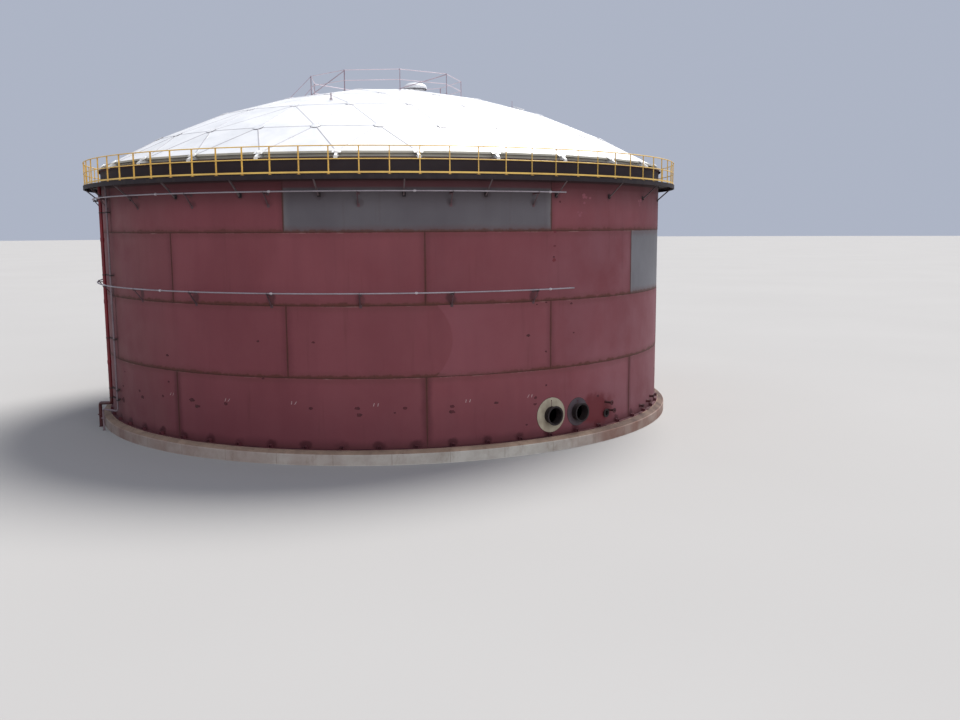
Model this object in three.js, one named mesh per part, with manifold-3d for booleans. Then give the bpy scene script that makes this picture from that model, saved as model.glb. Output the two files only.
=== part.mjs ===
// Biogas digester: a welded steel tank 30 m across under a low aluminium dome.
// Millimetres, +Z up. The origin is on the tank's axis, at the foot of the plinth.
// An azimuth of 0 points along -Y, and it grows towards +X.
import * as THREE from "three";
import { mergeVertices } from "three/addons/utils/BufferGeometryUtils.js";
import Module from "manifold-3d";

const wasm = await Module();
wasm.setup();

// Clearance between separately made pieces
const GAP = 0.3;

// Plinth
const PLINTH_RADIUS = 15500;
const PLINTH_INNER_RADIUS = 14400;
const RING_WALL_HEIGHT = 470;
const SHOULDER_TOE_RADIUS = 15470;
const SHOULDER_CREST_RADIUS = 15240;
const BOTTOM_PLATE_UNDERSIDE = 590;
const SHELL_FOOT = 600;
const PLINTH_FACETS = 48;

// Tank shell: four courses of eight rolled plates
const SHELL_RADIUS = 15000;
const COURSE_HEIGHT = 3048;
const PLATES_PER_COURSE = 8;
const FACETS_PER_PLATE = 6;
const PLATE_THICKNESS = [14, 12, 10, 8];
const FIRST_SEAM = -39.18;
const SEAM_SHIFT = 22.5;
const CHIME = 160;
const SHELL_TOP = SHELL_FOOT + 4 * COURSE_HEIGHT;

// Anchor chairs round the foot of the shell
const CHAIR_COUNT = 60;
const CHAIR_AZIMUTH = -2;
const CHAIR_WIDTH = 150;
const CHAIR_DEPTH = 150;
const CHAIR_BASE = 8;
const CHAIR_HEIGHT = 150;

// Curb angle at the shell's top edge
const CURB_LEG = 100;
const CURB_THICKNESS = 10;

// Walkway, carried by knee braces and edged by a channel
const DECK_TOP = SHELL_FOOT + 11450;
const DECK_THICKNESS = 8;
const DECK_RADIUS = 15850;
const EDGE_BEAM_DEPTH = 180;
const EDGE_BEAM_WIDTH = 70;
const EDGE_BEAM_RADIUS = 15846;
const BRACE_COUNT = 27;
const BRACE_AZIMUTH = 2.65;
const BRACE_WIDTH = 70;
const BRACE_DROP = 840;

// Handrail of the walkway
const POST_COUNT = 81;
const POST_AZIMUTH = 0.43;
const RAIL_RADIUS = 15800;
const RAIL_SIZE = 45;
const RAIL_TOP = SHELL_FOOT + 12600;
const MID_RAIL_TOP = SHELL_FOOT + 12080;
const TOE_BOARD_TOP = SHELL_FOOT + 11565;
const HANDRAIL_PARTS = 3;

// Dome: seven sectors of triangular panels on a sphere
const DOME_SPHERE_RADIUS = 27768;
const DOME_APEX = SHELL_FOOT + 16600;
const DOME_SECTORS = 7;
const DOME_RINGS = 4;
const DOME_CROWN_RINGS = 1;
const DOME_CROWN_LIFT = 100;
const DOME_RING_STEP = 3080;
const DOME_AZIMUTH = -27.1;
const DOME_RIM_RADIUS = 14800;
const DOME_SKIN = 4;
const EDGE_RING_RADIUS = 14765;
const EDGE_RING_WIDTH = 130;
const FLASHING_THICKNESS = 5;
const LEG_SIZE = 90;
const LEG_FOOT_RADIUS = 15075;

// Pressure vent near the dome's apex
const VENT_X = 1600;
const VENT_Y = -2100;
const VENT_CAP_RADIUS = 630;
const VENT_NECK_RADIUS = 380;
const VENT_RISE = 490;

// Guard rail round the dome's apex
const GUARD_POSTS = 9;
const GUARD_AZIMUTH = -29.8;
const GUARD_RADIUS = 4200;
const GUARD_HEIGHT = 1100;
const GUARD_MID_HEIGHT = 560;
const GUARD_BAR = 45;

// Cooling pipes round the shell
const SPRAY_RADIUS = 15420;
const SPRAY_PIPE_RADIUS = 38;
const SPRAY_HEIGHTS = [SHELL_FOOT + 6630, SHELL_FOOT + 10800];
const SPRAY_ENDS = [31.8, 29.9];
const SPRAY_OPENING = 70;
const SPRAY_FACETS = 48;

// Stand-off brackets of the cooling pipes: a front row, and a back row set clear of the knee braces
const BRACKET_SIZE = 50;
const BRACKET_DROP = 550;
const FRONT_BRACKETS = { azimuth: 24.7, step: 14.6, count: 7 };
const BACK_BRACKETS = { azimuth: -79.4, step: 360 / BRACE_COUNT };

// Risers that climb the shell at the left
const RISER_TOP = DECK_TOP - DECK_THICKNESS - 20;
const RED_RISER = { azimuth: -65, radius: 15270, pipe: 84, foot: 1350, leg: { azimuth: -69, radius: 15690, top: 1200 } };
const GRAY_RISER = { azimuth: -61, radius: 15210, pipe: 45, foot: 1085, leg: { azimuth: -65, radius: 15700, top: 1070 } };
const LEG_FLANGE = { over: 55, thickness: 40, height: 600 };
const RISER_CLAMPS = [SHELL_FOOT + 1500, SHELL_FOOT + 4000, SHELL_FOOT + 7100, SHELL_FOOT + 10100];

// Manways and nozzles in the first course, heights over the foot of the shell
const MANWAYS = [
  { name: "manway_1", azimuth: 28.5, height: 950, bore: 365, wall: 12, reach: 330, flange: 440, pad: 790 },
  { name: "manway_2", azimuth: 34.6, height: 910, bore: 365, wall: 12, reach: 330, flange: 440, pad: 650 },
];
const NOZZLES = [
  { name: "nozzle_1", azimuth: 42.3, height: 1100, bore: 45, wall: 8, reach: 400, flange: 115 },
  { name: "nozzle_2", azimuth: 42.3, height: 570, bore: 125, wall: 10, reach: 100, flange: 200 },
  { name: "nozzle_3", azimuth: 56.4, height: 350, bore: 60, wall: 8, reach: 230, flange: 115 },
  { name: "nozzle_4", azimuth: 61, height: 390, bore: 60, wall: 8, reach: 230, flange: 115 },
  { name: "nozzle_5", azimuth: 64, height: 520, bore: 60, wall: 8, reach: 230, flange: 115 },
  { name: "nozzle_6", azimuth: 43.35, height: 690, bore: 45, wall: 8, reach: 360, flange: 120 },
];
const PAD_THICKNESS = 14;
const FLANGE_THICKNESS = 32;

// Finishes
const FINISH = {
  concrete: { color: 0xb9b2a6, roughness: 0.9, metalness: 0 },
  fill: { color: 0x8f7a5e, roughness: 0.95, metalness: 0 },
  grout: { color: 0x8a7556, roughness: 0.95, metalness: 0 },
  primer: { color: 0x6b3a42, roughness: 0.7, metalness: 0 },
  grayPrimer: { color: 0x565358, roughness: 0.7, metalness: 0 },
  darkSteel: { color: 0x2e2522, roughness: 0.7, metalness: 0.2 },
  yellow: { color: 0xd7a53c, roughness: 0.5, metalness: 0 },
  aluminium: { color: 0xe8e8e6, roughness: 0.4, metalness: 0.5 },
  mill: { color: 0x969687, roughness: 0.5, metalness: 0.6 },
  galvanised: { color: 0x96908c, roughness: 0.5, metalness: 0.6 },
  red: { color: 0x6e1923, roughness: 0.5, metalness: 0 },
  cream: { color: 0xb9b59a, roughness: 0.7, metalness: 0 },
};

const part = new THREE.Group();

function add(name, geometry, finish) {
  const mesh = new THREE.Mesh(geometry, new THREE.MeshStandardMaterial(finish));
  mesh.name = name;
  part.add(mesh);
  return mesh;
}

// Point at a radius, azimuth in degrees and height
function polar(radius, azimuth, z = 0) {
  const a = THREE.MathUtils.degToRad(azimuth);
  return new THREE.Vector3(radius * Math.sin(a), -radius * Math.cos(a), z);
}

// Solids from geometries, and back
function solid(geometry) {
  const g = geometry.clone();
  g.deleteAttribute("normal");
  g.deleteAttribute("uv");
  const merged = mergeVertices(g, 1e-3);
  const mesh = new wasm.Mesh({
    numProp: 3,
    vertProperties: new Float32Array(merged.attributes.position.array),
    triVerts: new Uint32Array(merged.index.array),
  });
  return new wasm.Manifold(mesh);
}

function geometryOf(manifold) {
  const mesh = manifold.getMesh();
  const g = new THREE.BufferGeometry();
  g.setAttribute("position", new THREE.BufferAttribute(new Float32Array(mesh.vertProperties), 3));
  g.setIndex(new THREE.BufferAttribute(new Uint32Array(mesh.triVerts), 1));
  g.computeVertexNormals();
  return g;
}

function union(solids) {
  return solids.reduce((whole, piece) => whole.add(piece));
}

// Flat outline in plan, raised from one height to another
function prism(points, low, high, holes = []) {
  const shape = new THREE.Shape(points.map((p) => new THREE.Vector2(p.x, p.y)));
  for (const hole of holes) shape.holes.push(new THREE.Path(hole.map((p) => new THREE.Vector2(p.x, p.y))));
  const g = new THREE.ExtrudeGeometry(shape, { depth: high - low, bevelEnabled: false, steps: 1 });
  return g.translate(0, 0, low);
}

function circlePoints(radius, facets, firstAzimuth) {
  return Array.from({ length: facets }, (_, i) => polar(radius, firstAzimuth + (360 * i) / facets));
}

function annulus(inner, outer, low, high, facets = PLINTH_FACETS, firstAzimuth = FIRST_SEAM) {
  const rim = circlePoints(outer, facets, firstAzimuth);
  const holes = inner > 0 ? [circlePoints(inner, facets, firstAzimuth)] : [];
  return prism(rim, low, high, holes);
}

// Band between two radii along a list of azimuths
function arcBand(inner, outer, azimuths, low, high) {
  const there = azimuths.map((a) => polar(outer, a));
  const back = azimuths.map((a) => polar(inner, a)).reverse();
  return prism([...there, ...back], low, high);
}

// Closed section of [radius, height] pairs, anticlockwise, turned round the axis
function turned(section, facets, firstAzimuth) {
  const points = section.map(([r, z]) => new THREE.Vector2(r, z));
  points.push(points[0].clone());
  const start = THREE.MathUtils.degToRad(firstAzimuth);
  return new THREE.LatheGeometry(points, facets, start).rotateX(Math.PI / 2);
}

// Thick outline in the plane of radius and height, centred on an azimuth
function fin(outline, width, azimuth, holes = []) {
  const shape = new THREE.Shape(outline.map(([r, z]) => new THREE.Vector2(r, z)));
  for (const hole of holes) shape.holes.push(new THREE.Path(hole.map(([r, z]) => new THREE.Vector2(r, z))));
  const g = new THREE.ExtrudeGeometry(shape, { depth: width, bevelEnabled: false, steps: 1 });
  g.translate(0, 0, -width / 2);
  g.rotateX(Math.PI / 2);
  return g.rotateZ(THREE.MathUtils.degToRad(azimuth - 90));
}

// Straight round or square bar between two points
function bar(from, to, radius, sides) {
  const along = new THREE.Vector3().subVectors(to, from);
  const g = new THREE.CylinderGeometry(radius, radius, along.length(), sides, 1, false, Math.PI / sides);
  const turn = new THREE.Quaternion().setFromUnitVectors(new THREE.Vector3(0, 1, 0), along.clone().normalize());
  g.applyQuaternion(turn);
  return g.translate((from.x + to.x) / 2, (from.y + to.y) / 2, (from.z + to.z) / 2);
}

// The shell's outside, a hair proud, as a prism that other pieces are trimmed against
const shellFacets = PLATES_PER_COURSE * FACETS_PER_PLATE;
const shellOutside = solid(annulus(0, SHELL_RADIUS + GAP, 0, 20000, shellFacets));

// Plinth: concrete ring wall, compacted fill and a grout shoulder

function makePlinth() {
  add("ring_wall", annulus(PLINTH_INNER_RADIUS, PLINTH_RADIUS, 0, RING_WALL_HEIGHT), FINISH.concrete);
  add(
    "foundation_fill",
    annulus(0, PLINTH_INNER_RADIUS - GAP, 0, BOTTOM_PLATE_UNDERSIDE),
    FINISH.fill,
  );
  const shoulder = [
    [PLINTH_INNER_RADIUS, RING_WALL_HEIGHT],
    [SHOULDER_TOE_RADIUS, RING_WALL_HEIGHT],
    [SHOULDER_CREST_RADIUS, BOTTOM_PLATE_UNDERSIDE],
    [PLINTH_INNER_RADIUS, BOTTOM_PLATE_UNDERSIDE],
  ];
  add("grout_shoulder", turned(shoulder, PLINTH_FACETS, FIRST_SEAM), FINISH.grout);
}

// Bottom plate, and the anchor chairs on a base ring that lies on its chime

function makeBottomPlate() {
  add(
    "bottom_plate",
    annulus(0, SHELL_RADIUS + CHIME, BOTTOM_PLATE_UNDERSIDE, SHELL_FOOT, shellFacets),
    FINISH.primer,
  );
}

function makeChairs() {
  const rim = SHELL_RADIUS + CHAIR_DEPTH;
  const outline = [
    [SHELL_RADIUS - 40, SHELL_FOOT],
    [rim - 2, SHELL_FOOT],
    [rim - 2, SHELL_FOOT + CHAIR_HEIGHT - 30],
    [SHELL_RADIUS - 40, SHELL_FOOT + CHAIR_HEIGHT],
  ];
  const pieces = [solid(annulus(SHELL_RADIUS - 40, rim, SHELL_FOOT, SHELL_FOOT + CHAIR_BASE, shellFacets))];
  for (let i = 0; i < CHAIR_COUNT; i++) {
    pieces.push(solid(fin(outline, CHAIR_WIDTH, CHAIR_AZIMUTH + (360 / CHAIR_COUNT) * i)));
  }
  const beyond = solid(annulus(0, rim, 0, SHELL_TOP, shellFacets));
  add("anchor_chairs", geometryOf(union(pieces).intersect(beyond).subtract(shellOutside)), FINISH.primer);
}

// Shell courses

function radialBore(item, radius, from, to) {
  const z = SHELL_FOOT + item.height;
  return bar(polar(from, item.azimuth, z), polar(to, item.azimuth, z), radius, item.bore > 200 ? 16 : 8);
}

function makeCourse(course, firstPlate, plates, name, finish = FINISH.primer) {
  const plateAngle = 360 / PLATES_PER_COURSE;
  const first = FIRST_SEAM + (course % 2) * SEAM_SHIFT + firstPlate * plateAngle;
  const count = plates * FACETS_PER_PLATE;
  const azimuths = Array.from({ length: count + 1 }, (_, i) => first + (i * plateAngle) / FACETS_PER_PLATE);
  const low = SHELL_FOOT + course * COURSE_HEIGHT;
  const inner = SHELL_RADIUS - PLATE_THICKNESS[course];
  const band = arcBand(inner, SHELL_RADIUS, azimuths, low, low + COURSE_HEIGHT);
  const last = first + plates * plateAngle;
  const openings = [...MANWAYS, ...NOZZLES].filter((o) => o.azimuth > first && o.azimuth < last);
  if (course > 0 || openings.length === 0) {
    add(name, band, finish);
    return;
  }
  let plate = solid(band);
  for (const o of openings) {
    plate = plate.subtract(solid(radialBore(o, o.bore + o.wall + 2 * GAP, 14700, 15300)));
  }
  add(name, geometryOf(plate), finish);
}

function makeShell() {
  makeCourse(0, 0, 1, "course_1_front");
  makeCourse(0, 1, 1, "course_1_manway_plate");
  makeCourse(0, 2, 2, "course_1_right");
  makeCourse(0, 4, 2, "course_1_back");
  makeCourse(0, 6, 2, "course_1_left");
  makeCourse(1, -1, 2, "course_2_front");
  makeCourse(1, 1, 2, "course_2_right");
  makeCourse(1, 3, 2, "course_2_back");
  makeCourse(1, 5, 2, "course_2_left");
  makeCourse(2, -1, 3, "course_3_front");
  makeCourse(2, 2, 1, "course_3_gray_plate", FINISH.grayPrimer);
  makeCourse(2, 3, 2, "course_3_back");
  makeCourse(2, 5, 2, "course_3_left");
  makeCourse(3, 0, 1, "course_4_gray_plate", FINISH.grayPrimer);
  makeCourse(3, 1, 2, "course_4_right");
  makeCourse(3, 3, 3, "course_4_back");
  makeCourse(3, 6, 2, "course_4_left");
}

// Curb angle on the outside of the top edge

function makeCurb() {
  const inside = SHELL_RADIUS + GAP;
  const section = [
    [inside, SHELL_TOP - CURB_LEG],
    [inside + CURB_THICKNESS, SHELL_TOP - CURB_LEG],
    [inside + CURB_THICKNESS, SHELL_TOP - CURB_THICKNESS],
    [SHELL_RADIUS + CURB_LEG, SHELL_TOP - CURB_THICKNESS],
    [SHELL_RADIUS + CURB_LEG, SHELL_TOP],
    [inside, SHELL_TOP],
  ];
  add("curb_angle", turned(section, shellFacets, FIRST_SEAM), FINISH.primer);
}

// Arm with a diagonal strut under it, as an outline in the plane of radius and height
function kneeOutline(top, tip, rod, drop) {
  const root = SHELL_RADIUS - 60;
  return [
    [root, top],
    [root, top - rod],
    [tip - 1.8 * rod, top - rod],
    [root, top - drop + 1.6 * rod],
    [root, top - drop],
    [tip, top - 1.3 * rod],
    [tip, top],
  ];
}

// Walkway

function makeWalkway() {
  const low = DECK_TOP - DECK_THICKNESS;
  add("walkway_deck", annulus(SHELL_RADIUS + GAP, DECK_RADIUS, low, DECK_TOP, shellFacets), FINISH.darkSteel);
  const inner = EDGE_BEAM_RADIUS - EDGE_BEAM_WIDTH;
  const beam = solid(annulus(inner, EDGE_BEAM_RADIUS, low - EDGE_BEAM_DEPTH, low, shellFacets));
  const outline = kneeOutline(low, inner + 30, BRACE_WIDTH, BRACE_DROP);
  const braces = [];
  for (let i = 0; i < BRACE_COUNT; i++) {
    braces.push(solid(fin(outline, BRACE_WIDTH, BRACE_AZIMUTH + (360 / BRACE_COUNT) * i)));
  }
  const frame = beam.add(union(braces)).subtract(shellOutside);
  add("walkway_brackets", geometryOf(frame), FINISH.darkSteel);
}

// Handrail: posts, top rail, middle rail and toe board, in three lengths

function makeHandrail() {
  const bay = 360 / POST_COUNT;
  const bays = POST_COUNT / HANDRAIL_PARTS;
  const inner = RAIL_RADIUS - RAIL_SIZE;
  const names = ["handrail_front", "handrail_right", "handrail_left"];
  names.forEach((name, place) => {
    const first = POST_AZIMUTH + (place * bays - (bays - 1) / 2) * bay;
    const azimuths = [first - bay / 2];
    for (let i = 0; i < bays; i++) azimuths.push(first + i * bay);
    azimuths.push(first + (bays - 0.5) * bay);
    let rail = solid(arcBand(inner, RAIL_RADIUS, azimuths, DECK_TOP, RAIL_TOP));
    const halfPost = THREE.MathUtils.radToDeg(RAIL_SIZE / 2 / RAIL_RADIUS);
    for (let i = -1; i < bays; i++) {
      const from = i < 0 ? first - bay / 2 - 0.1 : first + i * bay + halfPost;
      const to = i === bays - 1 ? first + (i + 0.5) * bay + 0.1 : first + (i + 1) * bay - halfPost;
      for (const [low, high] of [
        [TOE_BOARD_TOP, MID_RAIL_TOP - RAIL_SIZE],
        [MID_RAIL_TOP, RAIL_TOP - RAIL_SIZE],
      ]) {
        rail = rail.subtract(solid(arcBand(inner - 60, RAIL_RADIUS + 60, [from, to], low, high)));
      }
    }
    add(name, geometryOf(rail), FINISH.yellow);
  });
}

// Dome skin, in seven sectors of flat triangular panels

const sphereCentre = new THREE.Vector3(0, 0, DOME_APEX - DOME_SPHERE_RADIUS);

function onSphere(radius, azimuth, inset = 0) {
  const z = sphereCentre.z + Math.sqrt(DOME_SPHERE_RADIUS ** 2 - radius ** 2);
  const p = polar(radius, azimuth, z);
  const inward = new THREE.Vector3().subVectors(sphereCentre, p).normalize();
  return p.addScaledVector(inward, inset);
}

// Hub of the dome, lifted in the crown, where the dome stands over its sphere
function hubPoint([radius, azimuth], inset = 0) {
  const p = onSphere(radius, azimuth, inset);
  if (radius <= DOME_CROWN_RINGS * DOME_RING_STEP) p.z += DOME_CROWN_LIFT;
  return p;
}

// Hubs of a sector, ring by ring, as [radius, azimuth], and its panels as triples of hub numbers
function sectorLayout(sector) {
  const azimuthOf = (place, places) => DOME_AZIMUTH + (360 * (place % places)) / places;
  const hubs = [[0, DOME_AZIMUTH]];
  const ringStart = [0];
  for (let ring = 1; ring <= DOME_RINGS; ring++) {
    ringStart.push(hubs.length);
    const places = DOME_SECTORS * ring;
    for (let i = 0; i <= ring; i++) hubs.push([DOME_RING_STEP * ring, azimuthOf(sector * ring + i, places)]);
  }
  const rim = hubs.length;
  const rimPlaces = DOME_SECTORS * DOME_RINGS;
  for (let i = 0; i <= DOME_RINGS; i++) {
    hubs.push([DOME_RIM_RADIUS, azimuthOf(sector * DOME_RINGS + i + 0.5, rimPlaces)]);
  }
  const panels = [];
  for (let ring = 1; ring <= DOME_RINGS; ring++) {
    const upper = ringStart[ring - 1];
    const lower = ringStart[ring];
    for (let i = 0; i < ring; i++) {
      panels.push([upper + i, lower + i, lower + i + 1]);
      if (i > 0) panels.push([upper + i - 1, lower + i, upper + i]);
    }
  }
  const last = ringStart[DOME_RINGS];
  for (let i = 0; i < DOME_RINGS; i++) {
    panels.push([last + i, rim + i, last + i + 1]);
    panels.push([last + i + 1, rim + i, rim + i + 1]);
  }
  return { hubs, panels };
}

// Closed solid between two like sets of points, joined along the edges that only one panel has.
// Each side face is split from the same corner whichever way round its edge is met.
function sheetSolid(top, bottom, panels) {
  const indices = [];
  const edges = new Map();
  const n = top.length;
  for (const [a, b, c] of panels) {
    indices.push(a, b, c);
    indices.push(n + a, n + c, n + b);
    for (const [from, to] of [[a, b], [b, c], [c, a]]) {
      const twin = to + ":" + from;
      if (edges.has(twin)) edges.delete(twin);
      else edges.set(from + ":" + to, [from, to]);
    }
  }
  for (const [from, to] of edges.values()) {
    if (top[from].x < top[to].x) indices.push(from, n + from, to, to, n + from, n + to);
    else indices.push(from, n + from, n + to, from, n + to, to);
  }
  const g = new THREE.BufferGeometry().setFromPoints([...top, ...bottom]);
  g.setIndex(indices);
  g.computeVertexNormals();
  return g;
}

// Everything over the skin, or under it, as solids for trimming
function domeBlock(inset, level) {
  const pieces = [];
  for (let sector = 0; sector < DOME_SECTORS; sector++) {
    const { hubs, panels } = sectorLayout(sector);
    const skin = hubs.map((hub) => hubPoint(hub, inset));
    const flat = skin.map((p) => new THREE.Vector3(p.x, p.y, level));
    const over = level > DOME_APEX;
    pieces.push(solid(over ? sheetSolid(flat, skin, panels) : sheetSolid(skin, flat, panels)));
  }
  return union(pieces);
}

function makeDomeSkin() {
  for (let sector = 0; sector < DOME_SECTORS; sector++) {
    const { hubs, panels } = sectorLayout(sector);
    const top = hubs.map((hub) => hubPoint(hub));
    const bottom = hubs.map((hub) => hubPoint(hub, DOME_SKIN));
    add("dome_sector_" + (sector + 1), sheetSolid(top, bottom, panels), FINISH.aluminium);
  }
}

// Edge ring under the dome's rim, with the legs that stand on the curb, and the flashing below it

function rimAzimuth(i) {
  return DOME_AZIMUTH + (360 / DOME_SECTORS / DOME_RINGS) * (i + 0.5);
}

function makeDomeEdge() {
  const nodes = DOME_SECTORS * DOME_RINGS;
  const low = SHELL_TOP + FLASHING_THICKNESS;
  const ring = solid(
    annulus(EDGE_RING_RADIUS - EDGE_RING_WIDTH, EDGE_RING_RADIUS, low, low + 400, nodes, rimAzimuth(0)),
  );
  const legs = [];
  const outline = [
    [EDGE_RING_RADIUS - 60, low + 20],
    [LEG_FOOT_RADIUS - 1.3 * LEG_SIZE, low],
    [LEG_FOOT_RADIUS, low],
    [LEG_FOOT_RADIUS, low + 25],
    [EDGE_RING_RADIUS + 12, low + 120],
    [EDGE_RING_RADIUS - 60, low + 300],
  ];
  for (let i = 0; i < nodes; i++) legs.push(solid(fin(outline, LEG_SIZE, rimAzimuth(i))));
  const edge = ring.add(union(legs)).subtract(domeBlock(DOME_SKIN + GAP, 30000));
  add("dome_edge_ring", geometryOf(edge), FINISH.mill);
  add(
    "edge_flashing",
    annulus(EDGE_RING_RADIUS - EDGE_RING_WIDTH - 150, SHELL_RADIUS + 90, SHELL_TOP, low, shellFacets),
    FINISH.mill,
  );
}

// Pressure vent with a mushroom cap

function makeVent(underDome) {
  const base = onSphere(Math.hypot(VENT_X, VENT_Y), 0).z;
  const top = base + VENT_RISE;
  const section = [
    [0, base - 300],
    [VENT_NECK_RADIUS, base - 300],
    [VENT_NECK_RADIUS, top - 300],
    [VENT_CAP_RADIUS, top - 330],
    [VENT_CAP_RADIUS, top - 270],
    [0.88 * VENT_CAP_RADIUS, top - 130],
    [0.6 * VENT_CAP_RADIUS, top - 35],
    [0, top],
  ];
  const points = section.map(([r, z]) => new THREE.Vector2(r, z));
  const cap = new THREE.LatheGeometry(points, 16).rotateX(Math.PI / 2).translate(VENT_X, VENT_Y, 0);
  add("roof_vent", geometryOf(solid(cap).subtract(underDome)), FINISH.aluminium);
}

// Guard rail round the apex

function makeGuardRail(underDome) {
  const base = onSphere(GUARD_RADIUS, 0).z;
  const pieces = [];
  for (let i = 0; i < GUARD_POSTS; i++) {
    const azimuth = GUARD_AZIMUTH + (360 / GUARD_POSTS) * i;
    const next = azimuth + 360 / GUARD_POSTS;
    const foot = polar(GUARD_RADIUS, azimuth, base - 150);
    pieces.push(solid(bar(foot, polar(GUARD_RADIUS, azimuth, base + GUARD_HEIGHT), GUARD_BAR / 2, 4)));
    for (const z of [base + GUARD_MID_HEIGHT, base + GUARD_HEIGHT - GUARD_BAR / 2]) {
      const from = polar(GUARD_RADIUS, azimuth - 0.1, z);
      const to = polar(GUARD_RADIUS, next + 0.1, z);
      pieces.push(solid(bar(from, to, GUARD_BAR / 2, 4)));
    }
  }
  add("roof_guard_rail", geometryOf(union(pieces).subtract(underDome)), FINISH.galvanised);
}

// Cooling pipes, each an open ring on stand-off brackets

function bracketAzimuths(start) {
  const { azimuth, step, count } = FRONT_BRACKETS;
  const azimuths = Array.from({ length: count }, (_, i) => azimuth - step * i);
  for (let a = BACK_BRACKETS.azimuth; a > start; a -= BACK_BRACKETS.step) azimuths.push(a);
  return azimuths;
}

function makeSprayPipe(level, name) {
  const z = SPRAY_HEIGHTS[level];
  const end = SPRAY_ENDS[level];
  const start = end - 360 + SPRAY_OPENING;
  const sides = 4;
  const points = [];
  for (let i = 0; i <= SPRAY_FACETS; i++) {
    const azimuth = start + ((end - start) * i) / SPRAY_FACETS;
    for (let k = 0; k < sides; k++) {
      const turn = (2 * Math.PI * (k + 0.5)) / sides;
      const r = SPRAY_RADIUS + SPRAY_PIPE_RADIUS * Math.cos(turn);
      points.push(polar(r, azimuth, z + SPRAY_PIPE_RADIUS * Math.sin(turn)));
    }
  }
  const indices = [];
  for (let i = 0; i < SPRAY_FACETS; i++) {
    for (let k = 0; k < sides; k++) {
      const a = i * sides + k;
      const b = i * sides + ((k + 1) % sides);
      indices.push(a, a + sides, b, b, a + sides, b + sides);
    }
  }
  const last = SPRAY_FACETS * sides;
  for (let k = 1; k < sides - 1; k++) {
    indices.push(0, k, k + 1);
    indices.push(last, last + k + 1, last + k);
  }
  const pipe = new THREE.BufferGeometry().setFromPoints(points).setIndex(indices);
  const pieces = [solid(pipe)];
  const outline = kneeOutline(z + BRACKET_SIZE / 2, SPRAY_RADIUS, BRACKET_SIZE, BRACKET_DROP);
  for (const azimuth of bracketAzimuths(start)) pieces.push(solid(fin(outline, BRACKET_SIZE, azimuth)));
  add(name, geometryOf(union(pieces).subtract(shellOutside)), FINISH.galvanised);
}

// Risers at the left, clamped to the shell

function makeRiser(name, riser, finish) {
  const corner = polar(riser.radius, riser.azimuth, riser.foot);
  const shin = polar(riser.leg.radius, riser.leg.azimuth, riser.leg.top);
  const across = new THREE.Vector3().subVectors(shin, corner).setLength(riser.pipe * 0.4);
  const over = new THREE.Vector3(0, 0, riser.pipe * 0.4);
  const pieces = [
    solid(bar(corner.clone().sub(over), polar(riser.radius, riser.azimuth, RISER_TOP), riser.pipe, 8)),
    solid(bar(corner.clone().sub(across), shin.clone().add(across), riser.pipe, 8)),
    solid(bar(new THREE.Vector3(shin.x, shin.y, 0), shin.clone().add(over), riser.pipe, 8)),
    solid(
      bar(
        new THREE.Vector3(shin.x, shin.y, LEG_FLANGE.height),
        new THREE.Vector3(shin.x, shin.y, LEG_FLANGE.height + LEG_FLANGE.thickness),
        riser.pipe + LEG_FLANGE.over,
        8,
      ),
    ),
  ];
  for (const z of RISER_CLAMPS) {
    const outline = [
      [SHELL_RADIUS - 100, z - 30],
      [riser.radius + riser.pipe + 12, z - 30],
      [riser.radius + riser.pipe + 12, z + 30],
      [SHELL_RADIUS - 100, z + 30],
    ];
    pieces.push(solid(fin(outline, 2 * riser.pipe + 30, riser.azimuth)));
  }
  add(name, geometryOf(union(pieces).subtract(shellOutside)), finish);
}

// Manways and nozzles: a neck through the shell with a flange, and a reinforcing pad

function makeNeck(item, finish) {
  const outer = item.bore + item.wall;
  const face = SHELL_RADIUS + item.reach;
  const neck = solid(radialBore(item, outer, SHELL_RADIUS - 70, face));
  const flange = solid(radialBore(item, item.flange, face - FLANGE_THICKNESS, face));
  const bore = solid(radialBore(item, item.bore, SHELL_RADIUS - 200, face + 100));
  add(item.name + "_neck", geometryOf(neck.add(flange).subtract(bore)), finish);
}

function makePad(item, finish) {
  const band = annulus(
    SHELL_RADIUS + GAP,
    SHELL_RADIUS + GAP + PAD_THICKNESS,
    SHELL_FOOT + CHAIR_HEIGHT + 5,
    SHELL_FOOT + COURSE_HEIGHT,
    shellFacets,
  );
  const z = SHELL_FOOT + item.height;
  const disc = bar(polar(14600, item.azimuth, z), polar(15400, item.azimuth, z), item.pad, 24);
  const hole = radialBore(item, item.bore + item.wall + 2 * GAP, 14500, 15500);
  add(item.name + "_pad", geometryOf(solid(band).intersect(solid(disc)).subtract(solid(hole))), finish);
}

makePlinth();
makeBottomPlate();
makeChairs();
makeShell();
makeCurb();
makeWalkway();
makeHandrail();
makeDomeSkin();
makeDomeEdge();
const underDome = domeBlock(-GAP, DOME_APEX - 8000);
makeVent(underDome);
makeGuardRail(underDome);
makeSprayPipe(0, "lower_spray_pipe");
makeSprayPipe(1, "upper_spray_pipe");
makeRiser("red_riser", RED_RISER, FINISH.red);
makeRiser("gray_riser", GRAY_RISER, FINISH.galvanised);
for (const manway of MANWAYS) makeNeck(manway, FINISH.darkSteel);
makePad(MANWAYS[0], FINISH.cream);
makePad(MANWAYS[1], FINISH.grayPrimer);
for (const nozzle of NOZZLES) makeNeck(nozzle, FINISH.primer);

export default part;
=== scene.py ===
"""Biogas digester tank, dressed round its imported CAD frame.

Everything is in metres with +Z up. The tank's axis is the Z axis and -Y is the front. An azimuth of 0 points
along -Y, and it grows towards +X.
"""

import logging
import math
import random
from dataclasses import dataclass, field
from enum import Enum
from typing import Sequence

import bmesh
import bpy
from mathutils import Matrix, Vector


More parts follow.
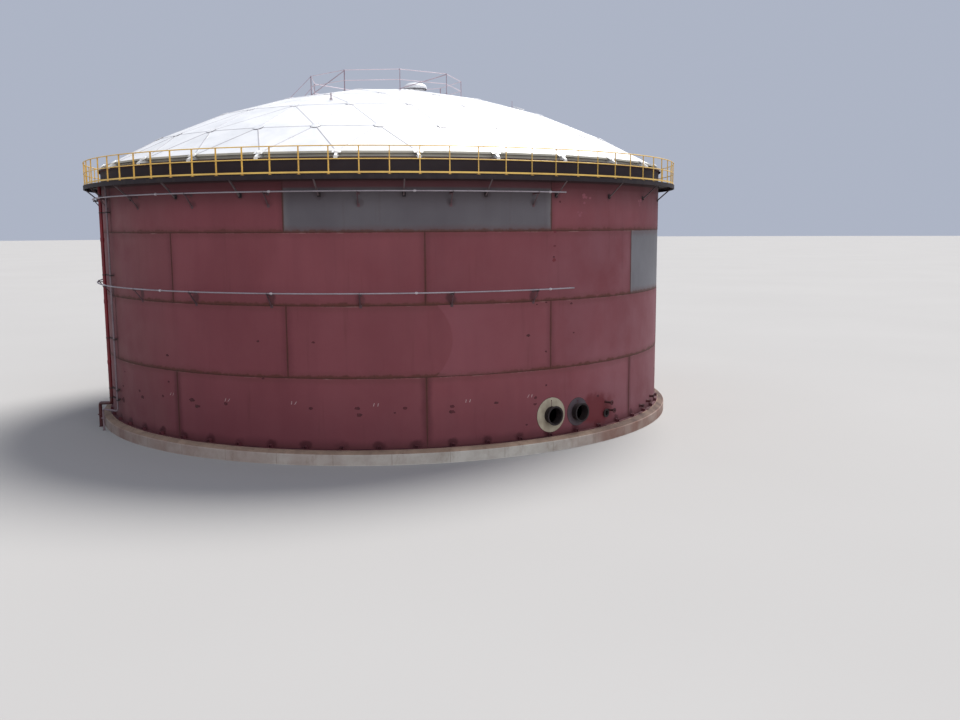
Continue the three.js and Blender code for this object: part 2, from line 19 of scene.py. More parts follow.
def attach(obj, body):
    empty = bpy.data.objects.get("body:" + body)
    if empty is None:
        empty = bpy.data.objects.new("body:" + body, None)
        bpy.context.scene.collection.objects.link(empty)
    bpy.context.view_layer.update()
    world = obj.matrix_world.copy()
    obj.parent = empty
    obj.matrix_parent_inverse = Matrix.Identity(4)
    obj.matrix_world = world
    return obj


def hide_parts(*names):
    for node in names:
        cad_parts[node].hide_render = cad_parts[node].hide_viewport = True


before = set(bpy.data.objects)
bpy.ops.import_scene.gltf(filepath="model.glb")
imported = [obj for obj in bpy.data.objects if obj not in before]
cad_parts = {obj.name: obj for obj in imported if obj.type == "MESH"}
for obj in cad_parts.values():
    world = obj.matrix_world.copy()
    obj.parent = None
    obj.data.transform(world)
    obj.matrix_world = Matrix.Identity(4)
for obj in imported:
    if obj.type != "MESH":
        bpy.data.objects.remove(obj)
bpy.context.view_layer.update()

log = logging.getLogger("digester")

UP = Vector((0.0, 0.0, 1.0))
CENTRE = Vector((0.0, 0.0, 0.0))
SHELL_RADIUS = 15.0
WELDED_ON = SHELL_RADIUS + 0.001
SHELL_FOOT = 0.6
COURSES = 4
COURSE_HEIGHT = 3.048
SHELL_TOP = SHELL_FOOT + COURSES * COURSE_HEIGHT
PLATES = 8
PLATE_ANGLE = 45.0
FIRST_SEAM = -39.18
SEAM_SHIFT = 22.5
DECK_TOP = 12.05
BRACES = 27
FIRST_BRACE = 2.65
HANGER_PITCH = 14.6
FRONT_HANGER = -62.9
BACK_HANGER = -79.4
ROUND_STEPS = 240
CRISP = 35.0

Point2 = tuple[float, float]
Triple = tuple[float, float, float]
Ring = list[Vector]


class Slot(Enum):
    """Material slots of the record."""

    CONCRETE = "concrete"
    GROUT = "grout"
    RED = "red_primer"
    GRAY = "gray_primer"
    DARK = "dark_steel"
    YELLOW = "safety_yellow"
    DOME = "dome_aluminium"
    MILL = "mill_aluminium"
    GALVANISED = "galvanised"
    RED_PIPE = "red_pipe"
    CREAM = "cream_primer"


def polar(radius: float, azimuth: float, height: float = 0.0) -> Vector:
    """Point at a radius, an azimuth and a height.

    Args:
        radius: distance from the tank's axis.
        azimuth: degrees from -Y towards +X.
        height: metres above the plinth's foot.

    Returns:
        The point.
    """
    a = math.radians(azimuth)
    return Vector((radius * math.sin(a), -radius * math.cos(a), height))


def outward(azimuth: float) -> Vector:
    """Unit vector away from the axis at an azimuth."""
    return polar(1.0, azimuth)


def sideways(azimuth: float) -> Vector:
    """Unit vector along the shell towards growing azimuths."""
    return polar(1.0, azimuth + 90.0)


def shell_degrees(metres: float) -> float:
    """Degrees that a length along the shell takes."""
    return math.degrees(metres / SHELL_RADIUS)


def shell_metres(degrees: float) -> float:
    """Metres along the shell that an angle takes."""
    return math.radians(degrees) * SHELL_RADIUS


def on_shell(azimuth: float, height: float, across: float, rise: float, proud: float) -> Vector:
    """Point on the shell, or proud of it, at offsets in metres from an azimuth and a height."""
    return polar(SHELL_RADIUS + proud, azimuth + shell_degrees(across), height + rise)


def seam_azimuth(course: int, plate: int) -> float:
    """Azimuth of the seam at which a plate of a course starts."""
    return FIRST_SEAM + (course % 2) * SEAM_SHIFT + plate * PLATE_ANGLE


def circle(radius: float, sides: int, start: float = 0.0) -> list[Point2]:
    """Corners of a regular section.

    Args:
        radius: of the corners.
        sides: how many corners.
        start: angle of the first, in radians.

    Returns:
        The corners, anticlockwise.
    """
    step = 2 * math.pi / sides
    return [(radius * math.cos(start + i * step), radius * math.sin(start + i * step)) for i in range(sides)]


def oblong(x0: float, x1: float, y0: float, y1: float) -> list[Point2]:
    """Corners of a rectangular section between two pairs of limits."""
    return [(x0, y0), (x1, y0), (x1, y1), (x0, y1)]


def angle_section(leg: float, thick: float, x: float = 0.0, y: float = 0.0) -> list[Point2]:
    """Section of a rolled angle with equal legs, its heel pulled back by x and y from the path."""
    corners = [(0, 0), (leg, 0), (leg, thick), (thick, thick), (thick, leg), (0, leg)]
    return [(a - x, b - y) for a, b in corners]


def rounded_path(corners: Sequence[Vector], bend: float, steps: int = 8) -> list[Vector]:
    """Path through corners with each inner corner turned on a bend.

    Args:
        corners: the path's ends and corners.
        bend: distance from a corner at which its bend starts.
        steps: points on each bend.

    Returns:
        The points of the path.
    """
    path = [corners[0].copy()]
    for before, corner, after in zip(corners, corners[1:], corners[2:]):
        back = (before - corner).normalized() * min(bend, (before - corner).length * 0.45)
        on = (after - corner).normalized() * min(bend, (after - corner).length * 0.45)
        for i in range(steps + 1):
            t = i / steps
            path.append(corner + back * (1 - t) ** 2 + on * t ** 2)
    path.append(corners[-1].copy())
    return path


@dataclass
class Form:
    """Points, faces and surface map of one piece, gathered before its mesh is made."""

    points: list[Vector] = field(default_factory=list)
    faces: list[tuple[int, ...]] = field(default_factory=list)
    maps: list[list[Point2]] = field(default_factory=list)

    def face(self, corners: Sequence[int], uvs: Sequence[Point2]) -> None:
        """Adds one face with its map."""
        self.faces.append(tuple(corners))
        self.maps.append(list(uvs))

    def loft(self, rows: Sequence[Ring], looped: bool = False, ringed: bool = True) -> None:
        """Skins a run of like rings, with a face on both ends unless it closes on itself.

        Args:
            rows: the rings, each with the same number of points.
            looped: the last ring joins the first.
            ringed: each ring is closed.
        """
        base, n = len(self.points), len(rows[0])
        for row in rows:
            self.points.extend(row)
        along = [0.0]
        for a, b in zip(rows, list(rows[1:]) + [rows[0]]):
            along.append(along[-1] + (a[0] - b[0]).length)
        middle = rows[len(rows) // 2]
        across = [0.0]
        for a, b in zip(middle, middle[1:] + middle[:1]):
            across.append(across[-1] + (a - b).length)
        for i in range(len(rows) if looped else len(rows) - 1):
            j = (i + 1) % len(rows)
            for k in range(n if ringed else n - 1):
                m = (k + 1) % n
                self.face(
                    (base + i * n + k, base + i * n + m, base + j * n + m, base + j * n + k),
                    [(along[i], across[k]), (along[i], across[k + 1]), (along[i + 1], across[k + 1]),
                    (along[i + 1], across[k])],
                )
        if looped:
            return
        for row, first in ((rows[0], base), (rows[-1], base + (len(rows) - 1) * n)):
            side = (row[1] - row[0]).normalized()
            other = (row[1] - row[0]).cross(row[2] - row[1]).cross(side).normalized()
            uvs = [((p - row[0]).dot(side), (p - row[0]).dot(other)) for p in row]
            self.face(range(first, first + n), uvs)

    def sweep(self, section: Sequence[Point2], path: Sequence[Vector], up: Vector = UP) -> None:
        """Carries a section along a path, level with a given up.

        Args:
            section: closed section, x to the side and y up.
            path: points that it passes.
            up: direction that the section's y keeps to.
        """
        rows = []
        for i, p in enumerate(path):
            ahead = (path[min(i + 1, len(path) - 1)] - path[max(i - 1, 0)]).normalized()
            side = ahead.cross(up).normalized()
            top = side.cross(ahead).normalized()
            rows.append([p + side * x + top * y for x, y in section])
        self.loft(rows)

    def tube(self, path: Sequence[Vector], radius: float, sides: int = 12) -> None:
        """Round bar along a path, with the least twist.

        Args:
            path: points of its centre line.
            radius: of the bar.
            sides: of its section.
        """
        ahead = (path[1] - path[0]).normalized()
        side = ahead.orthogonal().normalized()
        rows = []
        for i, p in enumerate(path):
            step = (path[min(i + 1, len(path) - 1)] - path[max(i - 1, 0)]).normalized()
            side = (side - step * side.dot(step)).normalized()
            top = step.cross(side)
            rows.append([p + side * x + top * y for x, y in circle(radius, sides)])
        self.loft(rows)

    def ring(self, section: Sequence[Point2], start: float = 0.0, end: float = 360.0,
            steps: int = ROUND_STEPS) -> None:
        """Section of radius and height, carried round the tank.

        Args:
            section: closed section of (radius, height) pairs.
            start: first azimuth.
            end: last azimuth; a whole turn closes on itself.
            steps: pieces that it is divided into.
        """
        whole = abs(end - start - 360.0) < 1e-6
        count = steps if whole else steps + 1
        rows = []
        for i in range(count):
            azimuth = start + (end - start) * i / steps
            rows.append([polar(r, azimuth, z) for r, z in section])
        self.loft(rows, looped=whole)

    def turn(self, section: Sequence[Point2], origin: Vector, axis: Vector, steps: int = 32,
            closed: bool = True) -> None:
        """Section of (radius, distance along the axis) pairs, turned about any axis.

        Args:
            section: a closed section, or one that starts and ends on the axis.
            origin: where the distance is 0.
            axis: unit vector of the axis.
            steps: facets of the turn.
            closed: the section is a closed loop clear of the axis.
        """
        side = axis.orthogonal().normalized()
        other = axis.cross(side)
        rows = []
        for x, y in circle(1.0, steps):
            spoke = side * x + other * y
            rows.append([origin + spoke * r + axis * a for r, a in section])
        self.loft(rows, looped=True, ringed=closed)

    def rod(self, origin: Vector, axis: Vector, radius: float, low: float, high: float, steps: int,
            crown: float = 0.0) -> None:
        """Solid round bar, or a disc, about an axis.

        Args:
            origin: where the distances start.
            axis: unit vector of the axis.
            radius: of the bar.
            low: distance at which it starts.
            high: distance at which it ends.
            steps: facets of the turn.
            crown: height of its middle over its far edge.
        """
        section = [(0, low), (radius, low), (radius, high), (0, high + crown)]
        self.turn(section, origin, axis, steps, closed=False)

    def block(self, centre: Vector, x: Vector, y: Vector, z: Vector) -> None:
        """Box about a centre, from three half-length vectors.

        Args:
            centre: middle of the box.
            x: half of its length.
            y: half of its width.
            z: half of its height.
        """
        ends = []
        for s in (-1, 1):
            ends.append([centre + z * s + x * a + y * b for a, b in ((-1, -1), (1, -1), (1, 1), (-1, 1))])
        self.loft(ends)

    def slab(self, outline: Sequence[Vector], thickness: Vector) -> None:
        """Flat outline with a thickness, centred on it."""
        self.loft([[p - thickness / 2 for p in outline], [p + thickness / 2 for p in outline]])

    def make(self, name: str, sharp: float = CRISP) -> bpy.types.Object:
        """Turns what was gathered into one object at the origin.

        Args:
            name: of the piece.
            sharp: angle in degrees over which an edge stays crisp.

        Returns:
            The object, linked to the scene.
        """
        mesh = bpy.data.meshes.new(name)
        mesh.from_pydata([tuple(p) for p in self.points], [], self.faces)
        layer = mesh.uv_layers.new(name="surface")
        layer.data.foreach_set("uv", [c for face in self.maps for uv in face for c in uv])
        work = bmesh.new()
        work.from_mesh(mesh)
        bmesh.ops.remove_doubles(work, verts=work.verts, dist=2e-5)
        bmesh.ops.dissolve_degenerate(work, edges=work.edges, dist=1e-6)
        bmesh.ops.recalc_face_normals(work, faces=work.faces)
        work.to_mesh(mesh)
        work.free()
        shade(mesh, sharp)
        mesh.update()
        return link(name, mesh)


def shade(mesh: bpy.types.Mesh, sharp: float = CRISP) -> None:
    """Shades a mesh smooth, but for edges over an angle in degrees."""
    mesh.shade_smooth()
    mesh.set_sharp_from_angle(angle=math.radians(sharp))


def link(name: str, data: object) -> bpy.types.Object:
    """New object of some data, linked to the scene.

    Args:
        name: of the object.
        data: its mesh, lamp or camera.

    Returns:
        The object.
    """
    piece = bpy.data.objects.new(name, data)
    bpy.context.scene.collection.objects.link(piece)
    return piece


def place(piece: bpy.types.Object, finish: bpy.types.Material, nodes: Sequence[str] = ()) -> None:
    """Gives a finished piece its material and its body, and hides the CAD nodes that it replaces.

    Args:
        piece: at the origin, with its place in its mesh.
        finish: its material.
        nodes: CAD nodes that it replaces.
    """
    piece.data.materials.clear()
    piece.data.materials.append(finish)
    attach(piece, "root")
    if nodes:
        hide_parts(*nodes)


def evaluate(piece: bpy.types.Object) -> None:
    """Applies a piece's modifiers to a plain mesh, removes them and shades it.

    Args:
        piece: the object that carries the modifiers.
    """
    bpy.context.view_layer.update()
    graph = bpy.context.evaluated_depsgraph_get()
    mesh = bpy.data.meshes.new_from_object(piece.evaluated_get(graph), depsgraph=graph)
    piece.modifiers.clear()
    mesh.name = piece.name
    piece.data = mesh
    shade(mesh)


def cut(piece: bpy.types.Object, cutter: bpy.types.Object) -> None:
    """Takes a cutter's shape out of a piece and deletes the cutter.

    Args:
        piece: to be cut.
        cutter: closed object.
    """
    modifier = piece.modifiers.new("cut", "BOOLEAN")
    modifier.operation = "DIFFERENCE"
    modifier.solver = "EXACT"
    modifier.object = cutter
    evaluate(piece)
    bpy.data.objects.remove(cutter)


# Node boards: one helper for materials and for Geometry Nodes


class Board:
    """Puts nodes on a node tree and wires them."""

    def __init__(self, tree: bpy.types.NodeTree) -> None:
        """Keeps the tree."""
        self.tree = tree

    def feed(self, socket: bpy.types.NodeSocket, value: object) -> None:
        """Links a socket to a socket, or sets it to a plain value.

        Args:
            socket: input to feed.
            value: socket or plain value.
        """
        if isinstance(value, bpy.types.NodeSocket):
            self.tree.links.new(value, socket)
        else:
            socket.default_value = value

    def add(self, kind: str, inputs: dict | None = None, **settings: object) -> bpy.types.Node:
        """Adds a node.

        Args:
            kind: its type name.
            inputs: values or sockets by input name or number.
            settings: its properties.

        Returns:
            The node.
        """
        node = self.tree.nodes.new(kind)
        for key, value in settings.items():
            setattr(node, key, value)
        for key, value in (inputs or {}).items():
            self.feed(node.inputs[key], value)
        return node

    def out(self, kind: str, inputs: dict | None = None, **settings: object) -> bpy.types.NodeSocket:
        """First output of a new node."""
        return self.add(kind, inputs, **settings).outputs[0]

    def math(self, operation: str, *values: object) -> bpy.types.NodeSocket:
        """Result of a Math node."""
        return self.out("ShaderNodeMath", dict(enumerate(values)), operation=operation)

    def plus(self, a: object, b: object) -> bpy.types.NodeSocket:
        """Sum of two values."""
        return self.math("ADD", a, b)

    def minus(self, a: object, b: object) -> bpy.types.NodeSocket:
        """First value less the second."""
        return self.math("SUBTRACT", a, b)

    def times(self, *values: object) -> bpy.types.NodeSocket:
        """Product of several values.

        Args:
            values: numbers or sockets.

        Returns:
            The product's socket.
        """
        result = values[0]
        for value in values[1:]:
            result = self.math("MULTIPLY", result, value)
        return result


Shade = tuple[int, int, int]
# Dark maroon-brown, laid as painted shade under the walkway and on the dark spots at braces and pipe
# brackets.
SHADE_AND_SPOTS: Shade = (46, 26, 28)


def tint(red: int, green: int, blue: int) -> tuple[float, float, float, float]:
    """Linear colour from screen values of 0 to 255.

    Args:
        red: screen value.
        green: screen value.
        blue: screen value.

    Returns:
        Red, green, blue and a full alpha.
    """
    def linear(value: int) -> float:
        """One channel."""
        v = value / 255.0
        return v / 12.92 if v <= 0.04045 else ((v + 0.055) / 1.055) ** 2.4

    return linear(red), linear(green), linear(blue), 1.0


class Paint(Board):
    """Shader board of one material: its colour so far, and the patterns that the finishes share."""

    def __init__(self, name: str, base: Shade) -> None:
        """Starts an empty material of one colour, whose patterns read object coordinates.

        Args:
            name: of the material.
            base: its colour under every coat.
        """
        self.material = bpy.data.materials.new(name)
        self.material.use_nodes = True
        super().__init__(self.material.node_tree)
        self.tree.nodes.clear()
        self.where = self.add("ShaderNodeTexCoord").outputs["Object"]
        self.x, self.y, self.z = self.add("ShaderNodeSeparateXYZ", {0: self.where}).outputs
        self.color: object = tint(*base)

    def noise(self, scale: float, detail: float = 4.0, stretch: Triple = (1, 1, 1), shift: float = 0.0,
            rough: float = 0.55) -> bpy.types.NodeSocket:
        """Noise in 0..1 at a scale per metre.

        Args:
            scale: features per metre.
            detail: octaves.
            stretch: scale of each axis, for streaks.
            shift: moves the pattern, so that two of them differ.
            rough: strength of the finer octaves.

        Returns:
            The noise's value.
        """
        mapped = self.out("ShaderNodeMapping", {"Vector": self.where,
            "Location": (shift, shift * 0.7, shift * 0.3), "Scale": stretch})
        return self.out("ShaderNodeTexNoise", {"Vector": mapped, "Scale": scale, "Detail": detail,
            "Roughness": rough})

    def step(self, value: object, low: float, high: float) -> bpy.types.NodeSocket:
        """Smooth step from 0 at low to 1 at high."""
        return self.out("ShaderNodeMapRange", {"Value": value, "From Min": low, "From Max": high},
            interpolation_type="SMOOTHSTEP")

    def fade(self, value: object, low: float, high: float) -> bpy.types.NodeSocket:
        """Smooth step from 1 at low to 0 at high."""
        return self.minus(1.0, self.step(value, low, high))

    def clouds(self, scale: float) -> bpy.types.NodeSocket:
        """Soft patches in 0..1 at a scale per metre."""
        return self.step(self.noise(scale), 0.35, 0.68)

    def ragged(self, value: object, scale: float, size: float, shift: float,
            rough: float = 0.55) -> bpy.types.NodeSocket:
        """Value made uneven by noise of a scale and a size about 0."""
        return self.plus(value, self.times(self.minus(self.noise(scale, shift=shift, rough=rough), 0.5),
            size))

    def distance(self, x: object, y: object) -> bpy.types.NodeSocket:
        """Length of the way along x and y."""
        return self.math("SQRT", self.plus(self.times(x, x), self.times(y, y)))

    def most(self, *values: object) -> bpy.types.NodeSocket:
        """Largest of several values.

        Args:
            values: numbers or sockets.

        Returns:
            The largest one's socket.
        """
        result = values[0]
        for value in values[1:]:
            result = self.math("MAXIMUM", result, value)
        return result

    def mix(self, amount: object, a: object, b: object) -> bpy.types.NodeSocket:
        """Colour between two colours.

        Args:
            amount: share of the second colour.
            a: first colour.
            b: second colour.

        Returns:
            The mixed colour.
        """
        node = self.add("ShaderNodeMix", data_type="RGBA")
        for number, value in ((0, amount), (6, a), (7, b)):
            self.feed(node.inputs[number], value)
        return node.outputs[2]

    def coat(self, amount: object, shade: object) -> None:
        """Lays a shade, or the colour of a socket, over the colour so far."""
        over = shade if isinstance(shade, bpy.types.NodeSocket) else tint(*shade)
        self.color = self.mix(amount, self.color, over)

    def girth(self) -> bpy.types.NodeSocket:
        """Metres along the shell from azimuth 0."""
        return self.times(self.math("ARCTAN2", self.x, self.times(self.y, -1.0)), SHELL_RADIUS)

    def band(self, rise: float, full: float, hold: float, end: float) -> bpy.types.NodeSocket:
        """Strength along the girth that grows from rise to full and fades from hold to end, in metres."""
        return self.times(self.step(self.girth(), rise, full), self.fade(self.girth(), hold, end))

    def finish(self, roughness: object, metallic: float = 0.0, height: object = None, depth: float = 0.002,
            specular: float = 0.4) -> bpy.types.Material:
        """Ends the material in one shader, with the colour so far.

        Args:
            roughness: value or socket.
            metallic: plain number.
            height: pattern for the bump, or None.
            depth: height of that pattern in metres.
            specular: specular level, a plain number.

        Returns:
            The material.
        """
        shader = self.add("ShaderNodeBsdfPrincipled", {"Base Color": self.color, "Roughness": roughness,
            "Metallic": metallic, "Specular IOR Level": specular})
        if height is not None:
            bump = self.out("ShaderNodeBump", {"Height": height, "Distance": depth, "Strength": 1.0})
            self.feed(shader.inputs["Normal"], bump)
        self.add("ShaderNodeOutputMaterial", {0: shader.outputs[0]})
        return self.material


@dataclass(frozen=True)
class PaintedSteel:
    """Painted or primed steel with patchy colour, grime, rust freckles, a little orange peel and, where
    asked, painted shade with some mud near the ground.
    """

    name: str
    main: Shade
    second: Shade
    grime: Shade = (60, 48, 40)
    rust: Shade = (92, 50, 28)
    shade_and_mud: Shade = (52, 26, 27)
    grime_amount: float = 0.35
    rust_amount: float = 0.25
    shade_and_mud_amount: float = 0.0
    shade_and_mud_full: float = 1.2
    shade_and_mud_top: float = 3.2
    roughness: float = 0.6
    patch: float = 1.2
    peel: float = 0.0012

    def material(self) -> bpy.types.Material:
        """Builds the material.

        Returns:
            The material.
        """
        p = Paint(self.name, self.main)
        p.coat(p.clouds(self.patch), self.second)
        streaks = p.step(p.noise(3.0, 4.0, (1, 1, 0.22), 5.0), 0.5, 0.78)
        p.coat(p.times(streaks, self.grime_amount), self.grime)
        freckles = p.step(p.noise(14.0, shift=9.0, rough=0.7), 0.62, 0.72)
        groups = p.step(p.noise(1.7, 3.0, shift=3.0), 0.45, 0.65)
        p.coat(p.times(freckles, groups, self.rust_amount), self.rust)
        # Darker towards the ground: painted shade with some mud.
        if self.shade_and_mud_amount:
            p.coat(p.times(p.fade(p.z, self.shade_and_mud_full, self.shade_and_mud_top), self.shade_and_mud_amount), self.shade_and_mud)
        rough = p.plus(self.roughness - 0.08, p.times(p.noise(6.0, 3.0, shift=2.0), 0.22))
        height = p.plus(p.noise(60.0, 2.0), p.times(freckles, 0.8))
        return p.finish(rough, 0.0, height, self.peel)


@dataclass(frozen=True)
class BareMetal:
    """Aluminium or galvanised steel: mill lines or spangle, handling marks and dust."""

    name: str
    main: Shade
    second: Shade
    dust: Shade = (150, 140, 128)
    dust_amount: float = 0.2
    roughness: float = 0.4
    metallic: float = 0.5
    spangle: float = 0.0
    sparkle: int = 25
    grain: Triple = (1.0, 1.0, 1.0)
    lines: float = 0.0006

    def material(self) -> bpy.types.Material:
        """Builds the material.

        Returns:
            The material.
        """
        p = Paint(self.name, self.main)
        p.coat(p.clouds(0.7), self.second)
        if self.spangle:
            cells = p.add("ShaderNodeTexVoronoi", {"Vector": p.where, "Scale": self.spangle})
            flake = p.step(cells.outputs["Color"], 0.0, 1.0)
            p.coat(p.times(flake, 0.35), [min(255, c + self.sparkle) for c in self.main])
        smear = p.step(p.noise(2.2, 5.0, self.grain, 4.0, 0.65), 0.52, 0.8)
        p.coat(p.times(smear, self.dust_amount), self.dust)
        rough = p.plus(self.roughness - 0.06, p.times(p.noise(5.0, 4.0, self.grain, 1.0), 0.2))
        return p.finish(rough, self.metallic, p.noise(90.0, 2.0, self.grain, 7.0), self.lines, 0.5)


@dataclass(frozen=True)
class Masonry:
    """Concrete, grout or fill: sandy grain, pits, damp stains, pour lines and darker bands along the girth.

    A wash is the four places along the girth of a band, in metres, and its strength.
    """

    name: str
    main: Shade
    second: Shade
    stain: Shade
    stain_amount: float = 0.4
    grain: float = 30.0
    depth: float = 0.006
    pours: float = 0.0
    splash: float = 0.0
    splash_shade: Shade = (214, 208, 200)
    wash: Shade = (110, 68, 55)
    washes: tuple[tuple[float, float, float, float, float], ...] = ()
    pale_edge: float = 0.0
    pale: Shade = (188, 158, 132)

    def material(self) -> bpy.types.Material:
        """Builds the material.

        Returns:
            The material.
        """
        p = Paint(self.name, self.main)
        p.coat(p.step(p.noise(0.9, 5.0, rough=0.6), 0.34, 0.68), self.second)
        stains = p.step(p.noise(2.4, 5.0, (1, 1, 0.5), 6.0, 0.65), 0.5, 0.75)
        p.coat(p.times(stains, self.stain_amount), self.stain)
        sand = p.noise(self.grain, rough=0.7)
        p.coat(p.times(p.step(sand, 0.55, 0.8), 0.25), self.stain)
        pits = p.add("ShaderNodeTexVoronoi", {"Vector": p.where, "Scale": self.grain * 0.4})
        height = p.minus(sand, p.times(p.fade(pits.outputs["Distance"], 0.06, 0.16), 0.6))
        if self.pours:
            joint = p.fade(p.math("PINGPONG", p.girth(), self.pours / 2), 0.004, 0.016)
            p.coat(p.times(joint, 0.55), self.stain)
            height = p.minus(height, joint)
        if self.splash:
            edge = p.plus(p.z, p.times(p.noise(3.0, shift=8.0), 0.05))
            p.coat(p.times(p.fade(edge, self.splash * 0.7, self.splash * 1.3), 0.35), self.splash_shade)
        patchy = p.plus(0.75, p.times(p.step(p.noise(0.7, shift=14.0), 0.35, 0.7), 0.4))
        for *span, amount in self.washes:
            p.coat(p.times(p.band(*span), patchy, amount), self.wash)
        if self.pale_edge:
            reach = p.ragged(p.distance(p.x, p.y), 1.3, 0.12, 24.0)
            edge = p.fade(reach, self.pale_edge - 0.02, self.pale_edge + 0.03)
            crumbs = p.step(p.noise(0.8, 5.0, shift=27.0, rough=0.7), 0.36, 0.56)
            p.coat(p.times(edge, crumbs, 0.7), self.pale)
        return p.finish(0.92, 0.0, height, self.depth, 0.25)


@dataclass(frozen=True)
class DarkSpots:
    """Row of dark spots on the shell, between two heights and at one pitch round it."""

    first: float
    pitch: float
    low: float
    high: float
    shift: float
    half: float = 0.26

    def strength(self, p: Paint) -> bpy.types.NodeSocket:
        """Their strength in 0..1.

        Args:
            p: board of the material that shows them.

        Returns:
            The socket.
        """
        s = p.minus(p.girth(), shell_metres(self.first))
        across = p.math("DIVIDE", p.math("PINGPONG", s, shell_metres(self.pitch) / 2), self.half)
        rise = p.math("DIVIDE", p.minus(p.z, (self.low + self.high) / 2), (self.high - self.low) / 2)
        uneven = p.ragged(p.distance(across, rise), 2.6, 1.5, self.shift)
        return p.times(p.fade(uneven, 0.45, 1.1), p.step(p.noise(0.6, 3.0, shift=self.shift + 4), 0.2, 0.5))


@dataclass(frozen=True)
class PlatePrimer:
    """Primer on the shell's plates, with weld rust, ground bands, run-off, touch-up, dark spots, and painted
    light and shade.

    The seams are found from the azimuth and the height, so each plate's edges get their own rust.
    """

    name: str
    course: int
    main: Shade
    second: Shade
    low: Shade
    rust: Shade = (58, 26, 20)
    old_rust: Shade = (86, 44, 29)
    strip: Shade = (76, 27, 34)
    # Colour of the painted highlight under each plate's top edge.
    level_strip: Shade = (86, 44, 42)
    lip_highlight: Shade = (150, 122, 116)
    # dust colours the lighter band on the right side: painted light with dust.
    dust: Shade = (132, 92, 100)
    warm: Shade = (124, 84, 82)
    rust_amount: float = 1.0
    touch_up: float = 0.0
    dust_amount: float = 0.4
    roughness: float = 0.72

    def material(self) -> bpy.types.Material:
        """Builds the material.

        Returns:
            The material.
        """
        p = Paint(self.name, self.main)
        length = shell_metres(PLATE_ANGLE)
        s = p.minus(p.girth(), shell_metres(seam_azimuth(self.course, 0)))
        side = p.math("PINGPONG", s, length / 2)
        foot = SHELL_FOOT + self.course * COURSE_HEIGHT
        above = p.minus(p.z, foot)
        below = p.minus(foot + COURSE_HEIGHT, p.z)
        self.broad(p, p.math("FLOOR", p.math("DIVIDE", s, length)))
        self.strips(p, side, above, below)
        self.weld_rust(p, side, above, below)
        fine = p.noise(26.0, rough=0.7)
        specks = p.times(p.step(fine, 0.66, 0.74), p.step(p.noise(0.8, 3.0, shift=31.0), 0.5, 0.7))
        p.coat(p.times(specks, 0.6), self.rust)
        extras = (self.foot_course, self.second_course, self.third_course, self.top_course)
        extras[self.course](p)
        rough = p.plus(self.roughness - 0.1, p.times(p.noise(0.9, shift=5.0), 0.24))
        height = p.plus(p.times(fine, 0.5), p.times(p.noise(0.45, 3.0, shift=3.0), 2.5))
        return p.finish(rough, 0.0, height, 0.004, 0.35)

    def broad(self, p: Paint, plate: bpy.types.NodeSocket) -> None:
        """Lays roller passes, the change from plate to plate, a darker foot, a lighter band round the right
        side that is painted light with patchy dust, and run-off.

        Args:
            p: the board.
            plate: number of the plate.
        """
        p.coat(p.step(p.noise(0.28, 4.0, (1, 1, 0.7)), 0.33, 0.67), self.second)
        number = p.plus(p.math("WRAP", plate, float(PLATES), 0.0), self.course * 9.0)
        tone = p.add("ShaderNodeTexWhiteNoise", {"W": number}, noise_dimensions="1D").outputs["Value"]
        p.coat(p.times(tone, 0.3), self.low)
        passes = p.step(p.noise(1.6, 3.0, (1, 1, 0.12), 11.0), 0.42, 0.7)
        p.coat(p.times(passes, 0.14), self.low)
        p.coat(p.times(p.fade(p.z, 0.6, 3.4), 0.5), self.low)
        side_patches = p.step(p.noise(0.5, shift=51.0), 0.2, 0.7)
        # Painted light with dust: the plates grow lighter in patches round the right side.
        p.coat(p.times(p.band(4.0, 13.0, 28.0, 40.0), side_patches, self.dust_amount), self.dust)
        p.coat(p.times(p.band(-40.0, -28.0, -16.0, -8.0), side_patches, 0.5), self.warm)
        p.coat(p.times(p.step(p.noise(3.4, 4.0, (1, 1, 0.06), 13.0), 0.58, 0.8), 0.22), self.rust)

    def strips(self, p: Paint, side: bpy.types.NodeSocket, above: bpy.types.NodeSocket,
            below: bpy.types.NodeSocket) -> None:
        """Lays the ground and repainted strips beside the seams, and a painted highlight under each plate's
        top edge.

        Args:
            p: the board.
            side: metres from the nearest upright seam.
            above: metres above the course's foot.
            below: metres below its top.
        """
        upright = p.fade(p.ragged(side, 1.1, 0.28, 17.0, 0.62), 0.03, 0.34)
        level = p.fade(p.ragged(p.math("MINIMUM", above, below), 1.1, 0.3, 17.0, 0.62), 0.1, 0.34)
        p.coat(p.times(upright, 0.35 + self.touch_up * 0.5), self.strip)
        p.coat(p.times(level, 0.28), self.level_strip)
        # Painted highlight: a pale, broken line just under each plate's top edge.
        lip = p.times(p.step(below, 0.014, 0.024), p.fade(below, 0.04, 0.075))
        highlight_patches = p.step(p.noise(0.9, 5.0, shift=61.0, rough=0.7), 0.5, 0.68)
        p.coat(p.times(lip, highlight_patches, 0.4), self.lip_highlight)

    def weld_rust(self, p: Paint, side: bpy.types.NodeSocket, above: bpy.types.NodeSocket,
            below: bpy.types.NodeSocket) -> None:
        """Lays rust on the seams, with blotches that climb from them.

        Args:
            p: the board.
            side: metres from the nearest upright seam.
            above: metres above the course's foot.
            below: metres below its top.
        """
        blotch = p.minus(0.5, p.noise(2.3, 5.0, (1, 1, 0.6), 21.0, 0.68))
        climbing = p.times(p.fade(p.plus(above, p.times(blotch, 0.34)), 0.035, 0.15), self.rust_amount)
        hanging = p.fade(p.plus(below, p.times(blotch, 0.1)), 0.01, 0.05)
        upright = p.times(p.fade(p.plus(side, p.times(blotch, 0.13)), 0.02, 0.075), 0.7)
        shades = p.mix(p.noise(5.0, 3.0, shift=2.0), tint(*self.rust), tint(*self.old_rust))
        p.coat(p.times(p.most(climbing, hanging, upright), 0.85), shades)

